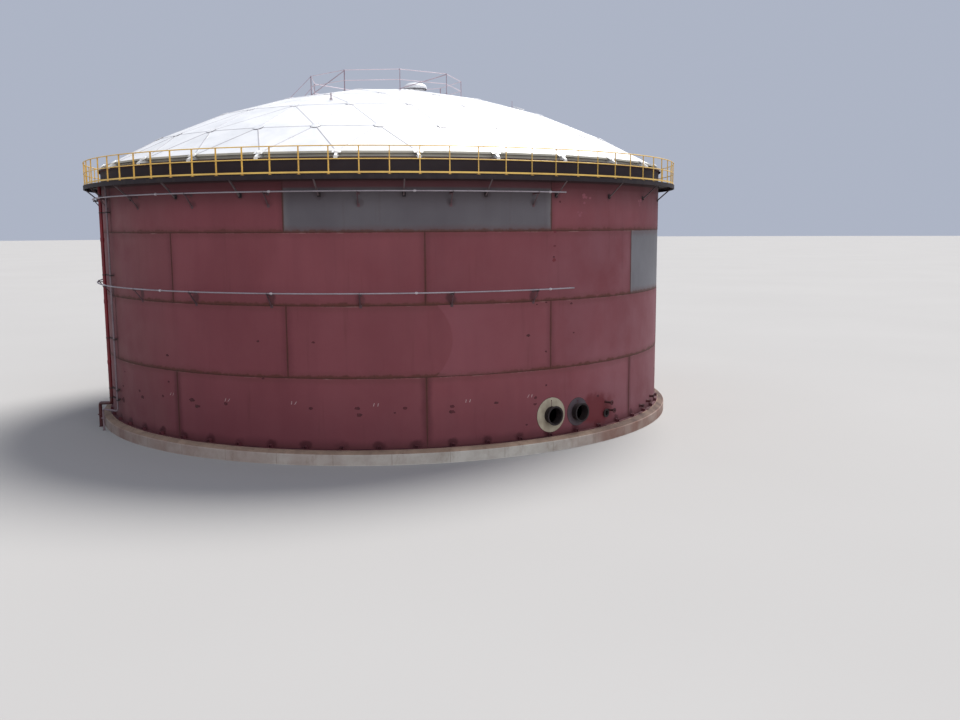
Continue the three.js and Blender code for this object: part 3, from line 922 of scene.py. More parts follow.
    def foot_course(self, p: Paint) -> None:
        """Lays the damp foot, the dark spots over the chairs and a patch of fresh paint at the nozzles.

        Args:
            p: the board.
        """
        wet = p.minus(p.z, p.times(p.noise(0.8, shift=33.0), 0.5))
        p.coat(p.times(p.fade(wet, 0.4, 0.85), 0.55), (72, 28, 36))
        chairs = DarkSpots(-2.0, 6.0, 0.45, 1.0, 2.0, 0.3).strength(p)
        p.coat(p.times(chairs, 0.9), (60, 14, 22))
        across = p.times(p.minus(p.girth(), shell_metres(40.2)), 0.62)
        fresh = p.fade(p.ragged(p.distance(across, p.minus(p.z, 1.45)), 1.4, 0.9, 41.0), 0.5, 0.95)
        p.coat(p.times(fresh, 0.85), (88, 24, 30))

    def second_course(self, p: Paint) -> None:
        """Lays a painted sheen with a curved edge on the front plate.

        Args:
            p: the board.
        """
        # Painted sheen: lighter to the right of a curved edge.
        rise = p.minus(p.z, 5.2)
        edge = p.plus(p.girth(), p.times(rise, rise, 0.3))
        sheen = p.times(p.step(edge, 2.62, 2.72), p.fade(p.girth(), 3.2, 6.5))
        p.coat(p.times(sheen, 0.35), (126, 72, 80))

    def third_course(self, p: Paint) -> None:
        """Lays the dark spots at the lower cooling pipe's brackets."""
        p.coat(p.times(self.hangers(p, 6.62, 7.26, 6.0, 0.26), 0.6), SHADE_AND_SPOTS)

    def top_course(self, p: Paint) -> None:
        """Lays painted shade on the top under the walkway, darkest just under the deck and maroon-tinted from
        11.5 m up, the dark spots at its braces and hangers, and the dark crown.

        Args:
            p: the board.
        """
        # Painted shade: the shell darkens from 10.4 m up into the walkway's shadow.
        p.coat(p.times(p.step(p.z, 10.4, 11.6), 0.34), SHADE_AND_SPOTS)
        braces = DarkSpots(FIRST_BRACE, 360 / BRACES, 11.05, 11.45, 8.0).strength(p)
        p.coat(p.times(p.most(braces, self.hangers(p, 10.75, 11.15, 12.0, 0.24)), 0.36), SHADE_AND_SPOTS)
        # Painted shade under the deck: a maroon-tinted band from 11.5 m, then a darker one from 11.78 m.
        p.coat(p.times(p.step(p.z, 11.5, 11.62), 0.8), (88, 42, 47))
        p.coat(p.times(p.step(p.z, 11.78, 11.87), 0.8), (40, 24, 27))
        crown = p.mix(p.noise(1.2, shift=3.0), tint(34, 24, 29), tint(47, 36, 40))
        p.coat(p.step(p.z, 12.02, 12.06), crown)

    def hangers(self, p: Paint, low: float, high: float, shift: float, half: float) -> bpy.types.NodeSocket:
        """Dark spots at a cooling pipe's brackets, which have another pitch at the back.

        Args:
            p: the board.
            low: height where they start.
            high: height where they end.
            shift: of the noise that breaks them up.
            half: half width in metres.

        Returns:
            Their strength in 0..1.
        """
        front = DarkSpots(FRONT_HANGER, HANGER_PITCH, low, high, shift, half).strength(p)
        back = DarkSpots(BACK_HANGER, 360 / BRACES, low, high, shift, half).strength(p)
        behind = p.minus(1.0, p.band(-18.9, -18.7, 26.2, 26.4))
        return p.most(p.times(front, p.band(-17.6, -17.4, 7.4, 7.6)), p.times(back, behind))


class Finishes:
    """Every material of the tank, made once."""

    def __init__(self) -> None:
        """Builds the materials."""
        self.primers()
        self.paints()
        self.metals()
        self.masonry()

    def primers(self) -> None:
        """Builds the primers of the shell's courses."""
        red = dict(main=(110, 54, 60), second=(117, 60, 66), low=(90, 41, 49))
        self.courses = [
            PlatePrimer("primer_course_1", 0, touch_up=0.7, rust_amount=0.5, **red).material(),
            PlatePrimer("primer_course_2", 1, **red).material(),
            PlatePrimer("primer_course_3", 2, **red).material(),
            PlatePrimer("primer_course_4", 3, rust_amount=0.8, dust_amount=0.22, **red).material(),
        ]
        light = dict(main=(92, 90, 94), second=(100, 99, 102), low=(84, 80, 84))
        dark = dict(main=(80, 75, 80), second=(88, 84, 88), low=(74, 68, 73))
        # dust is the lighter tone of the right side: painted light with dust.
        film = dict(strip=(108, 103, 104), dust=(118, 118, 124), warm=(96, 90, 92), rust_amount=0.9)
        self.gray_courses = {
            2: PlatePrimer("gray_primer_course_3", 2, **light, **film).material(),
            3: PlatePrimer("gray_primer_course_4", 3, **dark, **film).material(),
        }

    def paints(self) -> None:
        """Builds the painted steel."""
        self.weld = PaintedSteel("weld_bead", (52, 27, 20), (43, 23, 18), rust=(84, 48, 30), rust_amount=0.5,
            roughness=0.8, patch=2.5).material()
        self.maroon = PaintedSteel("maroon_primer", (82, 32, 40), (68, 26, 34), roughness=0.7).material()
        self.scar = PaintedSteel("ground_lug_scar", (64, 24, 30), (80, 32, 38), roughness=0.8,
            patch=6.0).material()
        self.fresh = PaintedSteel("fresh_touch_up", (98, 28, 36), (84, 28, 36), roughness=0.6).material()
        self.pink = PaintedSteel("thin_touch_up", (128, 72, 81), (118, 65, 74), roughness=0.75, patch=5.0,
            rust_amount=0.05, grime_amount=0.1).material()
        self.chalk = PaintedSteel("chalk_mark", (164, 138, 138), (138, 106, 108), roughness=0.95, patch=20.0,
            rust_amount=0.0, grime_amount=0.2).material()
        self.dark = PaintedSteel("dark_steel", (48, 40, 40), (60, 48, 46), roughness=0.65,
            patch=1.6).material()
        self.deck = PaintedSteel("deck_steel", (26, 17, 22), (34, 23, 28), roughness=0.7,
            patch=1.6).material()
        self.brace = PaintedSteel("brace_steel", (92, 78, 80), (76, 62, 64), grime=(48, 36, 36),
            grime_amount=0.5, rust_amount=0.4, roughness=0.7, patch=2.5).material()
        self.hanger = PaintedSteel("hanger_steel", (84, 58, 63), (68, 48, 52), rust_amount=0.4, roughness=0.7,
            patch=2.5).material()
        self.neck = PaintedSteel("neck_steel", (25, 16, 18), (33, 22, 23), rust_amount=0.3, roughness=0.7,
            patch=3.0).material()
        self.nozzle = PaintedSteel("nozzle_primer", (74, 28, 33), (54, 26, 29), rust_amount=0.5,
            roughness=0.7, patch=4.0).material()
        self.yellow = PaintedSteel("safety_yellow", (226, 186, 96), (210, 170, 90), grime=(146, 110, 60),
            rust=(140, 78, 34), roughness=0.45, grime_amount=0.16, rust_amount=0.3, patch=0.9).material()
        # The red pipe darkens towards the ground: painted shade with some mud on the riser's leg.
        self.red_pipe = PaintedSteel("red_pipe", (120, 25, 34), (100, 20, 30), roughness=0.42, patch=1.0,
            shade_and_mud_amount=0.8).material()
        self.cream = PaintedSteel("cream_primer", (159, 150, 131), (144, 134, 116), grime=(96, 78, 62),
            rust=(120, 78, 44), rust_amount=0.5, roughness=0.7, patch=2.2).material()
        self.gray = PaintedSteel("gray_primer_pad", (74, 63, 68), (62, 52, 58), rust_amount=0.5,
            roughness=0.7, patch=2.5).material()
        # Dark gasket under each outer hub cover: painted shade under the cover; the vent screen takes it too.
        self.gasket = PaintedSteel("hub_gasket", (72, 64, 74), (58, 50, 60), roughness=0.8,
            patch=8.0).material()
        # Pale copy of the gasket for the crown's hubs: painted light.
        self.lit_pale_gasket = PaintedSteel("pale_hub_gasket_painted_light", (216, 214, 216), (204, 202, 206), roughness=0.8,
            rust_amount=0.05, patch=8.0).material()

    def metals(self) -> None:
        """Builds the aluminium and the galvanised steel."""
        self.dome = BareMetal("dome_sheet", (219, 219, 220), (208, 209, 211), dust=(184, 182, 178),
            dust_amount=0.25, roughness=0.42, metallic=0.15, grain=(1, 0.2, 1)).material()
        # Battens that reach the rim get a darker tone, painted shade; those of the crown a lighter one,
        # painted light.
        self.batten = BareMetal("dome_batten", (186, 184, 186), (170, 168, 172), metallic=0.2).material()
        self.crown_batten = BareMetal("crown_batten", (205, 204, 206), (194, 193, 196), roughness=0.42,
            metallic=0.15).material()
        self.bracket = BareMetal("rim_bracket", (236, 235, 232), (214, 213, 210), metallic=0.2).material()
        self.fascia = BareMetal("rim_fascia", (184, 180, 166), (168, 164, 152), dust=(140, 132, 116),
            roughness=0.5, metallic=0.1, grain=(1, 1, 0.25)).material()
        # Dark colour of the flashing: painted shade for the gap under the dome's edge.
        self.hem = BareMetal("flashing_gap_shade", (64, 44, 42), (52, 34, 35), dust=(84, 60, 54), roughness=0.6,
            metallic=0.2).material()
        self.old_pipe = BareMetal("dusty_tube", (116, 99, 104), (96, 82, 88), dust=(84, 68, 66),
            dust_amount=0.4, roughness=0.6, metallic=0.2, spangle=26.0).material()
        self.galvanised = BareMetal("galvanised_tube", (146, 138, 144), (126, 116, 122), roughness=0.45,
            metallic=0.35, spangle=26.0).material()
        self.coupling = BareMetal("coupling_sleeve", (184, 176, 180), (168, 160, 165),
            metallic=0.3).material()
        self.rail = BareMetal("guard_rail_bar", (206, 190, 196), (184, 166, 174), roughness=0.5, metallic=0.2,
            spangle=30.0).material()
        self.dull_rail = BareMetal("guard_rail_angle", (158, 140, 150), (138, 118, 128), roughness=0.6,
            metallic=0.2, spangle=30.0).material()

    def masonry(self) -> None:
        """Builds the concrete, the grout and the fill."""
        self.concrete = Masonry("ring_wall_concrete", (186, 182, 174), (166, 160, 152), (112, 100, 86),
            pours=2.4, splash=0.05, washes=((-44.0, -34.0, -14.0, 9.0, 0.62),
            (5.8, 12.0, 26.0, 38.0, 0.8))).material()
        self.grout = Masonry("shoulder_grout", (160, 137, 118), (137, 115, 99), (94, 74, 62),
            stain_amount=0.5, grain=22.0, depth=0.02, wash=(80, 64, 60), pale_edge=15.17,
            washes=((-38.0, -26.0, 0.0, 2.0, 0.34), (6.5, 12.5, 26.0, 38.0, 0.95))).material()
        self.fill = Masonry("compacted_fill", (150, 128, 98), (126, 106, 82), (92, 76, 58), grain=16.0,
            depth=0.03).material()


# Geometry Nodes trees


class Growth(Board):
    """Geometry Nodes tree with named inputs, grown on a piece and left as a plain mesh."""

    def __init__(self, name: str, inputs: dict[str, tuple[str, object]]) -> None:
        """Starts the tree.

        Args:
            name: of the tree.
            inputs: kind and default of each named input; a material is always added.
        """
        tree = bpy.data.node_groups.new(name, "GeometryNodeTree")
        super().__init__(tree)
        for way in ("OUTPUT", "INPUT"):
            tree.interface.new_socket("Geometry", in_out=way, socket_type="NodeSocketGeometry")
        self.keys = {}
        for label, (kind, value) in (inputs | {"Material": ("Material", None)}).items():
            socket = tree.interface.new_socket(label, in_out="INPUT", socket_type="NodeSocket" + kind)
            if value is not None:
                socket.default_value = value
            self.keys[label] = socket.identifier
        self.source = self.add("NodeGroupInput").outputs
        self.wire()

    def wire(self) -> None:
        """Places the tree's nodes; each kind of tree has its own."""
        raise NotImplementedError

    def even_curve(self) -> bpy.types.NodeSocket:
        """Curve along the template's edges, with a point at every spacing.

        Returns:
            The curve.
        """
        curve = self.out("GeometryNodeMeshToCurve", {"Mesh": self.source["Geometry"]})
        return self.out("GeometryNodeResampleCurve", {"Curve": curve, "Length": self.source["Spacing"]},
            mode="LENGTH")

    def end(self, geometry: bpy.types.NodeSocket) -> None:
        """Realizes the instances, sets the material and closes the tree.

        Args:
            geometry: what the tree has made.
        """
        real = self.out("GeometryNodeRealizeInstances", {0: geometry})
        dressed = self.out("GeometryNodeSetMaterial", {"Geometry": real, "Material": self.source["Material"]})
        self.add("NodeGroupOutput", {0: dressed})

    def grow(self, piece: bpy.types.Object, **values: object) -> bpy.types.Object:
        """Runs the tree on a piece and keeps the result as its mesh.

        Args:
            piece: template that the tree starts from.
            values: inputs by name.

        Returns:
            The piece.
        """
        modifier = piece.modifiers.new("growth", "NODES")
        modifier.node_group = self.tree
        for label, value in values.items():
            modifier[self.keys[label]] = value
        evaluate(piece)
        return piece


class RoundTheTank(Growth):
    """Copies a template round the tank's axis, each turned by one pitch more."""

    def __init__(self) -> None:
        """Names the tree's inputs."""
        super().__init__("round_the_tank", {
            "Count": ("Int", 12), "Start": ("Float", 0.0), "Pitch": ("Float", 0.1), "Jitter": ("Float", 0.0),
            "Seed": ("Int", 3),
        })

    def wire(self) -> None:
        """Points on the axis, with the template on each."""
        s = self.source
        line = self.out("GeometryNodeMeshLine", {"Count": s["Count"], "Offset": (0, 0, 0)})
        turn = self.plus(s["Start"], self.times(self.out("GeometryNodeInputIndex"), s["Pitch"]))
        low = self.times(s["Jitter"], -1.0)
        loose = self.add("FunctionNodeRandomValue", {2: low, 3: s["Jitter"], "Seed": s["Seed"]},
            data_type="FLOAT")
        rotation = self.out("ShaderNodeCombineXYZ", {"Z": self.plus(turn, loose.outputs[1])})
        self.end(self.out("GeometryNodeInstanceOnPoints", {"Points": line, "Instance": s["Geometry"],
            "Rotation": rotation}))


class BeadAlong(Growth):
    """Uneven weld bead along the edges of a template."""

    def __init__(self) -> None:
        """Names the tree's inputs."""
        super().__init__("bead_along", {
            "Radius": ("Float", 0.01), "Spacing": ("Float", 0.1), "Sides": ("Int", 5),
            "Unevenness": ("Float", 0.3),
        })

    def wire(self) -> None:
        """Curve from the edges, radius from noise, skin from a circle."""
        s = self.source
        where = self.out("GeometryNodeInputPosition")
        wave = self.out("ShaderNodeTexNoise", {"Vector": where, "Scale": 3.0, "Detail": 2.0})
        swell = self.times(self.minus(wave, 0.5), s["Unevenness"])
        radius = self.times(s["Radius"], self.plus(1.0, swell))
        sized = self.out("GeometryNodeSetCurveRadius", {"Curve": self.even_curve(), "Radius": radius})
        profile = self.out("GeometryNodeCurvePrimitiveCircle", {"Resolution": s["Sides"], "Radius": 1.0})
        self.end(self.out("GeometryNodeCurveToMesh", {"Curve": sized, "Profile Curve": profile,
            "Scale": radius, "Fill Caps": True}))


class StudsAlong(Growth):
    """Six-sided heads at even spacing along edges, standing square to a sphere or to the tank's axis."""

    def __init__(self) -> None:
        """Names the tree's inputs."""
        super().__init__("studs_along", {
            "Spacing": ("Float", 0.3), "Radius": ("Float", 0.01), "Height": ("Float", 0.01),
            "Centre": ("Vector", (0, 0, 0)),
        })

    def wire(self) -> None:
        """Points from the edges, with a head on each."""
        s = self.source
        where = self.out("GeometryNodeInputPosition")
        away = self.out("ShaderNodeVectorMath", {0: where, 1: s["Centre"]}, operation="SUBTRACT")
        facing = self.out("FunctionNodeAlignRotationToVector", {"Vector": away}, axis="Z")
        head = self.out("GeometryNodeMeshCylinder", {"Vertices": 6, "Radius": s["Radius"],
            "Depth": s["Height"]})
        self.end(self.out("GeometryNodeInstanceOnPoints", {"Points": self.even_curve(), "Instance": head,
            "Rotation": facing}))


def wires(name: str, runs: Sequence[Sequence[Vector]], looped: bool) -> bpy.types.Object:
    """Object of bare edges, for a tree that follows them.

    Args:
        name: of the object.
        runs: point runs, one polyline each.
        looped: each run closes on itself.

    Returns:
        The object.
    """
    points: list[Vector] = []
    edges: list[tuple[int, int]] = []
    for run in runs:
        base = len(points)
        points.extend(run)
        edges.extend((base + i, base + i + 1) for i in range(len(run) - 1))
        if looped:
            edges.append((base + len(run) - 1, base))
    mesh = bpy.data.meshes.new(name)
    mesh.from_pydata([tuple(p) for p in points], edges, [])
    return link(name, mesh)


@dataclass
class Workshop:
    """Finishes and trees that every sub-assembly is given, and the ways of using them."""

    finishes: Finishes
    around: RoundTheTank
    beads: BeadAlong
    studs: StudsAlong
    seed: int = 5
    bead_radius: float = 0.009
    bead_sides: int = 6

    def ring(self, piece: bpy.types.Object, slot: Slot, finish: bpy.types.Material, count: int, first: float,
            pitch: float, jitter: float = 0.0) -> None:
        """Copies a template round the tank and places the ring.

        Args:
            piece: the template, modelled at azimuth 0, which becomes the ring.
            slot: not used.
            finish: material.
            count: how many copies.
            first: azimuth of the first, in degrees.
            pitch: degrees between them.
            jitter: random turn in degrees.
        """
        self.around.grow(piece, Count=count, Start=math.radians(first), Pitch=math.radians(pitch),
            Jitter=math.radians(jitter), Seed=self.seed, Material=finish)
        place(piece, finish)

    def weld(self, name: str, runs: Sequence[Sequence[Vector]], looped: bool, spacing: float,
            unevenness: float = 0.6, slot: Slot = Slot.RED) -> None:
        """Lays weld beads along runs of points.

        Args:
            name: of the piece.
            runs: centre lines.
            looped: they close on themselves.
            spacing: metres between the bead's sections.
            unevenness: share by which its radius swells and shrinks.
            slot: not used.
        """
        finish = self.finishes.weld
        piece = self.beads.grow(wires(name, runs, looped), Radius=self.bead_radius, Spacing=spacing,
            Sides=self.bead_sides, Unevenness=unevenness, Material=finish)
        place(piece, finish)

    def heads(self, name: str, runs: Sequence[Sequence[Vector]], looped: bool, spacing: float, radius: float,
            height: float, centre: Sequence[float]) -> None:
        """Sets bolt or screw heads along runs of points on the dome.

        Args:
            name: of the piece.
            runs: lines that the heads stand on.
            looped: they close on themselves.
            spacing: metres between heads.
            radius: of a head.
            height: of a head.
            centre: point that the heads face away from.
        """
        finish = self.finishes.batten
        piece = self.studs.grow(wires(name, runs, looped), Spacing=spacing, Radius=radius, Height=height,
            Centre=tuple(centre), Material=finish)
        place(piece, finish)


# Sub-assemblies


@dataclass
class Plinth:
    """Concrete ring wall, compacted fill, grout shoulder and the tank's bottom plate."""

    shop: Workshop
    outer: float = 15.5
    inner: float = 14.4
    height: float = 0.47
    toe: float = 15.47
    crest: float = 15.24
    plate_low: float = 0.59
    chime: float = 15.16
    chamfer: float = 0.025
    waves: int = 9
    wave_height: float = 0.004
    shoulder_steps: int = 360

    def build(self) -> None:
        """Builds and dresses the plinth."""
        f = self.shop.finishes
        wall = Form()
        c = self.chamfer
        wall.ring([(self.inner, 0), (self.outer, 0), (self.outer, self.height - c),
            (self.outer - c, self.height), (self.inner, self.height)])
        place(wall.make("plinth_ring_wall"), f.concrete, ["ring_wall"])
        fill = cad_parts["foundation_fill"]
        fill.data.materials.clear()
        fill.data.materials.append(f.fill)
        self.shoulder()
        plate = Form()
        plate.rod(CENTRE, UP, self.chime, self.plate_low, SHELL_FOOT, ROUND_STEPS)
        place(plate.make("tank_bottom_plate"), f.maroon, ["bottom_plate"])

    def shoulder(self) -> None:
        """Builds the hand-trowelled grout shoulder, a little uneven."""
        rows = []
        seed = random.Random(11)
        waves = [(seed.uniform(0, 6.28), seed.randint(3, 40), seed.uniform(0.3, 1.0))
            for _ in range(self.waves)]
        top = self.plate_low - 0.002
        for i in range(self.shoulder_steps):
            azimuth = 360.0 * i / self.shoulder_steps
            turn = math.radians(azimuth)
            wave = sum(math.sin(k * turn + phase) * size for phase, k, size in waves) * self.wave_height
            rows.append([
                polar(self.inner, azimuth, self.height), polar(self.toe + wave * 0.6, azimuth, self.height),
                polar(self.toe - 0.05 + wave, azimuth, self.height + 0.035 + wave * 0.4),
                polar((self.toe + self.crest) / 2 + wave, azimuth, self.height + 0.068 + wave),
                polar(self.crest, azimuth, top), polar(self.inner, azimuth, top),
            ])
        form = Form()
        form.loft(rows, looped=True)
        place(form.make("grout_strip", 60.0), self.shop.finishes.grout, ["grout_shoulder"])


@dataclass(frozen=True)
class PlateRun:
    """Neighbouring plates of one course that make up one node."""

    node: str
    course: int
    first: int
    count: int
    gray: bool = False


@dataclass(frozen=True)
class Branch:
    """Neck through the first course: its place and sizes."""

    name: str
    azimuth: float
    height: float
    bore: float
    wall: float
    reach: float
    flange: float
    pad: float = 0.0
    bolts: int = 8

    def axis(self) -> Vector:
        """Unit vector out of the shell."""
        return outward(self.azimuth)

    def centre(self) -> Vector:
        """Where its centre line meets the shell's outside."""
        return self.near(0.0, 0.0, 0.0)

    def near(self, across: float, rise: float, proud: float) -> Vector:
        """Point on the shell, or proud of it, at offsets in metres from the centre line."""
        return on_shell(self.azimuth, SHELL_FOOT + self.height, across, rise, proud)


MANWAYS = (
    Branch("manway_1", 28.5, 0.95, 0.365, 0.012, 0.33, 0.44, 0.79, 20),
    Branch("manway_2", 34.6, 0.91, 0.365, 0.012, 0.33, 0.44, 0.65, 20),
)
NOZZLES = (
    Branch("nozzle_1", 42.3, 1.1, 0.045, 0.008, 0.4, 0.115),
    Branch("nozzle_2", 42.3, 0.57, 0.125, 0.01, 0.1, 0.2, bolts=12),
    Branch("nozzle_3", 56.4, 0.35, 0.06, 0.008, 0.23, 0.115),
    Branch("nozzle_4", 61.0, 0.39, 0.06, 0.008, 0.23, 0.115),
    Branch("nozzle_5", 64.0, 0.52, 0.06, 0.008, 0.23, 0.115),
    Branch("nozzle_6", 43.35, 0.69, 0.045, 0.008, 0.36, 0.12),
)


@dataclass
class Shell:
    """Four courses of rolled plates."""

    shop: Workshop
    thickness: tuple[float, ...] = (0.014, 0.012, 0.01, 0.008)
    steps_per_plate: int = 30
    cutter_reach: float = 0.2
    runs: tuple[PlateRun, ...] = (
        PlateRun("course_1_front", 0, 0, 1), PlateRun("course_1_manway_plate", 0, 1, 1),
        PlateRun("course_1_right", 0, 2, 2), PlateRun("course_1_back", 0, 4, 2),
        PlateRun("course_1_left", 0, 6, 2), PlateRun("course_2_front", 1, -1, 2),
        PlateRun("course_2_right", 1, 1, 2), PlateRun("course_2_back", 1, 3, 2),
        PlateRun("course_2_left", 1, 5, 2), PlateRun("course_3_front", 2, -1, 3),
        PlateRun("course_3_gray_plate", 2, 2, 1, True), PlateRun("course_3_back", 2, 3, 2),
        PlateRun("course_3_left", 2, 5, 2), PlateRun("course_4_gray_plate", 3, 0, 1, True),
        PlateRun("course_4_right", 3, 1, 2), PlateRun("course_4_back", 3, 3, 3),
        PlateRun("course_4_left", 3, 6, 2),
    )

    def build(self) -> None:
        """Builds and dresses every run of plates."""
        f = self.shop.finishes
        for run in self.runs:
            piece = self.plates(run)
            finish = f.gray_courses[run.course] if run.gray else f.courses[run.course]
            place(piece, finish, [run.node])

    def plates(self, run: PlateRun) -> bpy.types.Object:
        """Builds one run of plates, with holes for the necks.

        Args:
            run: which plates.

        Returns:
            The piece.
        """
        start = seam_azimuth(run.course, run.first)
        end = start + run.count * PLATE_ANGLE
        low = SHELL_FOOT + run.course * COURSE_HEIGHT
        form = Form()
        section = oblong(SHELL_RADIUS - self.thickness[run.course], SHELL_RADIUS, low, low + COURSE_HEIGHT)
        form.ring(section, start, end, run.count * self.steps_per_plate)
        piece = form.make("plates_" + run.node)
        holes = [b for b in MANWAYS + NOZZLES if run.course == 0 and start < b.azimuth < end]
        if holes:
            cutter = Form()
            for b in holes:
                cutter.rod(b.centre(), b.axis(), b.bore + b.wall, -self.cutter_reach, self.cutter_reach, 48)
            cut(piece, cutter.make("hole_cutter"))
        return piece


@dataclass
class WeldSeams:
    """Weld beads on the shell's seams and at its foot."""

    shop: Workshop
    spacing: float = 0.12
    unevenness: float = 0.7
    gap: float = 0.012
    points: int = 120

    def build(self) -> None:
        """Lays the beads."""
        heights = [SHELL_FOOT + c * COURSE_HEIGHT for c in range(1, COURSES)]
        self.lay("weld_girth_seams", [self.level(SHELL_RADIUS, z) for z in heights], True)
        self.lay("weld_upright_seams", [self.upright(c, k) for c in range(COURSES) for k in range(PLATES)],
            False)
        self.lay("weld_foot_fillet", [self.level(SHELL_RADIUS + 0.003, SHELL_FOOT + 0.003)], True)

    def level(self, radius: float, height: float) -> Ring:
        """Points of a level ring."""
        return [polar(radius, 360 * i / self.points, height) for i in range(self.points)]

    def upright(self, course: int, plate: int) -> Ring:
        """Ends of an upright seam; those of the top course stop under the deck.

        Args:
            course: 0 to 3.
            plate: the one that starts at the seam.

        Returns:
            The lower and the upper end.
        """
        azimuth = seam_azimuth(course, plate)
        low = SHELL_FOOT + course * COURSE_HEIGHT
        top = low + COURSE_HEIGHT - self.gap if course < COURSES - 1 else DECK_TOP - 0.01
        return [polar(SHELL_RADIUS, azimuth, low + self.gap), polar(SHELL_RADIUS, azimuth, top)]

    def lay(self, name: str, runs: Sequence[Ring], looped: bool) -> None:
        """Lays one set of beads."""
        self.shop.weld(name, runs, looped, self.spacing, self.unevenness)


class Mark(Enum):
    """Blots on the shell, by the name of their piece."""

    SCAR = "lug_scars"
    FRESH = "touch_up_dabs"
    PINK = "thin_touch_up"


@dataclass
class ShellMarks:
    """Chalk ticks, ground-off lugs and dabs of touch-up paint, each a thin film on the plates.

    A tick is an azimuth and a height; a blot is those and its size.
    """

    shop: Workshop
    film: float = 0.0012
    sunk: float = -0.001
    ticks: tuple[Point2, ...] = ((-40.8, 2.55), (-28.1, 2.55), (-15.9, 2.57), (-2.4, 2.51), (12.7, 2.53),
        (24.1, 2.52))
    tick_pitch: float = 12.86
    tick_height: float = 2.53
    stroke_length: float = 0.13
    stroke_width: float = 0.036
    scar_pitch: float = 7.66
    scar_heights: Triple = (2.37, 2.12, 4.6)
    scars: tuple[Triple, ...] = (
        (-51.4, 2.40, 0.1), (-50.3, 2.14, 0.13), (-43.4, 2.39, 0.09), (-35.8, 2.40, 0.15),
        (-34.6, 2.15, 0.13), (-28.4, 2.38, 0.12), (-13.0, 2.36, 0.12), (-5.4, 2.37, 0.11), (-5.1, 2.09, 0.13),
        (0.6, 2.15, 0.06), (2.3, 2.35, 0.11), (10.0, 2.33, 0.1), (10.0, 2.10, 0.13), (17.7, 2.36, 0.1),
        (25.2, 2.42, 0.1), (25.1, 2.12, 0.08), (23.4, 1.24, 0.07), (27.4, 2.92, 0.07), (-59.5, 2.37, 0.08),
        (-58.0, 3.12, 0.06), (-59.7, 1.66, 0.24), (-41.6, 3.09, 0.07), (-21.1, 3.58, 0.07),
        (-41.5, 4.29, 0.09), (-21.8, 5.17, 0.08), (-12.3, 5.17, 0.07), (23.7, 5.21, 0.1), (27.3, 4.44, 0.07),
        (33.5, 5.17, 0.06), (27.3, 6.62, 0.06), (25.4, 6.55, 0.05), (32.9, 6.50, 0.07), (40.0, 2.06, 0.1),
        (28.9, 8.6, 0.06), (30.2, 11.0, 0.07),
    )
    dabs: tuple[Triple, ...] = ((29.1, 9.69, 0.09), (29.1, 9.08, 0.07), (29.0, 8.46, 0.12))
    pinks: tuple[Triple, ...] = ((36.5, 11.1, 0.3), (34.8, 10.4, 0.2), (54.7, 11.1, 0.26))

    def build(self) -> None:
        """Builds every kind of mark."""
        f = self.shop.finishes
        seed = random.Random(7)
        self.chalk_ticks(seed)
        unseen = tuple((azimuth + seed.uniform(-0.5, 0.5), height, seed.uniform(0.07, 0.14))
            for azimuth in self.round_the_back(self.scar_pitch) for height in self.scar_heights
            if seed.random() < 0.6)
        self.blots(Mark.SCAR, self.scars + unseen, f.scar, seed)
        self.blots(Mark.FRESH, self.dabs, f.fresh, seed)
        self.blots(Mark.PINK, self.pinks, f.pink, seed)

    def chalk_ticks(self, seed: random.Random) -> None:
        """Builds the pairs of chalk strokes.

        Args:
            seed: random source.
        """
        form = Form()
        unseen = tuple((azimuth, self.tick_height + seed.uniform(-0.03, 0.03))
            for azimuth in self.round_the_back(self.tick_pitch))
        for azimuth, height in self.ticks + unseen:
            for off in (-0.09, 0.09):
                self.stroke(form, azimuth + shell_degrees(off), height, seed.uniform(0.01, 0.05))
        place(form.make("chalk_ticks"), self.shop.finishes.chalk)

    def blots(self, mark: Mark, spots: Sequence[Triple], finish: bpy.types.Material,
            seed: random.Random) -> None:
        """Builds the blots of one kind; thin touch-up is seven small ones scattered about its place.

        Args:
            mark: their kind.
            spots: azimuth, height and size of each.
            finish: material.
            seed: random source.
        """
        form = Form()
        scattered = mark is Mark.PINK
        for azimuth, height, size in spots:
            loose = size * 0.8 if scattered else 0.0
            for _ in range(7 if scattered else 1):
                across, rise = seed.uniform(-loose, loose), seed.uniform(-loose, loose)
                self.blot(form, azimuth + shell_degrees(across), height + rise,
                    size * (0.3 if scattered else 1.0), seed)
        place(form.make(mark.value), finish)

    def round_the_back(self, pitch: float) -> list[float]:
        """Azimuths at one pitch past the photographed front."""
        return [70.0 + i * pitch for i in range(int(230 / pitch))]

    def stroke(self, form: Form, azimuth: float, height: float, lean: float) -> None:
        """Adds one chalk stroke.

        Args:
            form: what it is added to.
            azimuth: of its middle.
            height: of its middle.
            lean: how far its ends are shifted sideways.
        """
        half, top = self.stroke_width / 2, self.stroke_length / 2
        outline = ((-half - lean, -top), (half - lean, -top), (half + lean, top), (-half + lean, top))
        form.loft([[on_shell(azimuth, height, x, y, p) for x, y in outline] for p in (self.sunk, self.film)])

    def blot(self, form: Form, azimuth: float, height: float, size: float, seed: random.Random) -> None:
        """Adds one uneven spot.

        Args:
            form: what it is added to.
            azimuth: of its middle.
            height: of its middle.
            size: its radius before it is spread sideways.
            seed: random source.
        """
        count = 14
        spread = seed.uniform(1.0, 1.5)
        outline = []
        for i in range(count):
            angle = 2 * math.pi * i / count
            r = size * seed.uniform(0.6, 1.0)
            outline.append((r * math.cos(angle) * spread, r * math.sin(angle) * 0.75))
        layers = ((self.sunk, 1.0), (self.film * 0.6, 1.0), (self.film, 0.85))
        form.loft([[on_shell(azimuth, height, x * k, y * k, p) for x, y in outline] for p, k in layers])


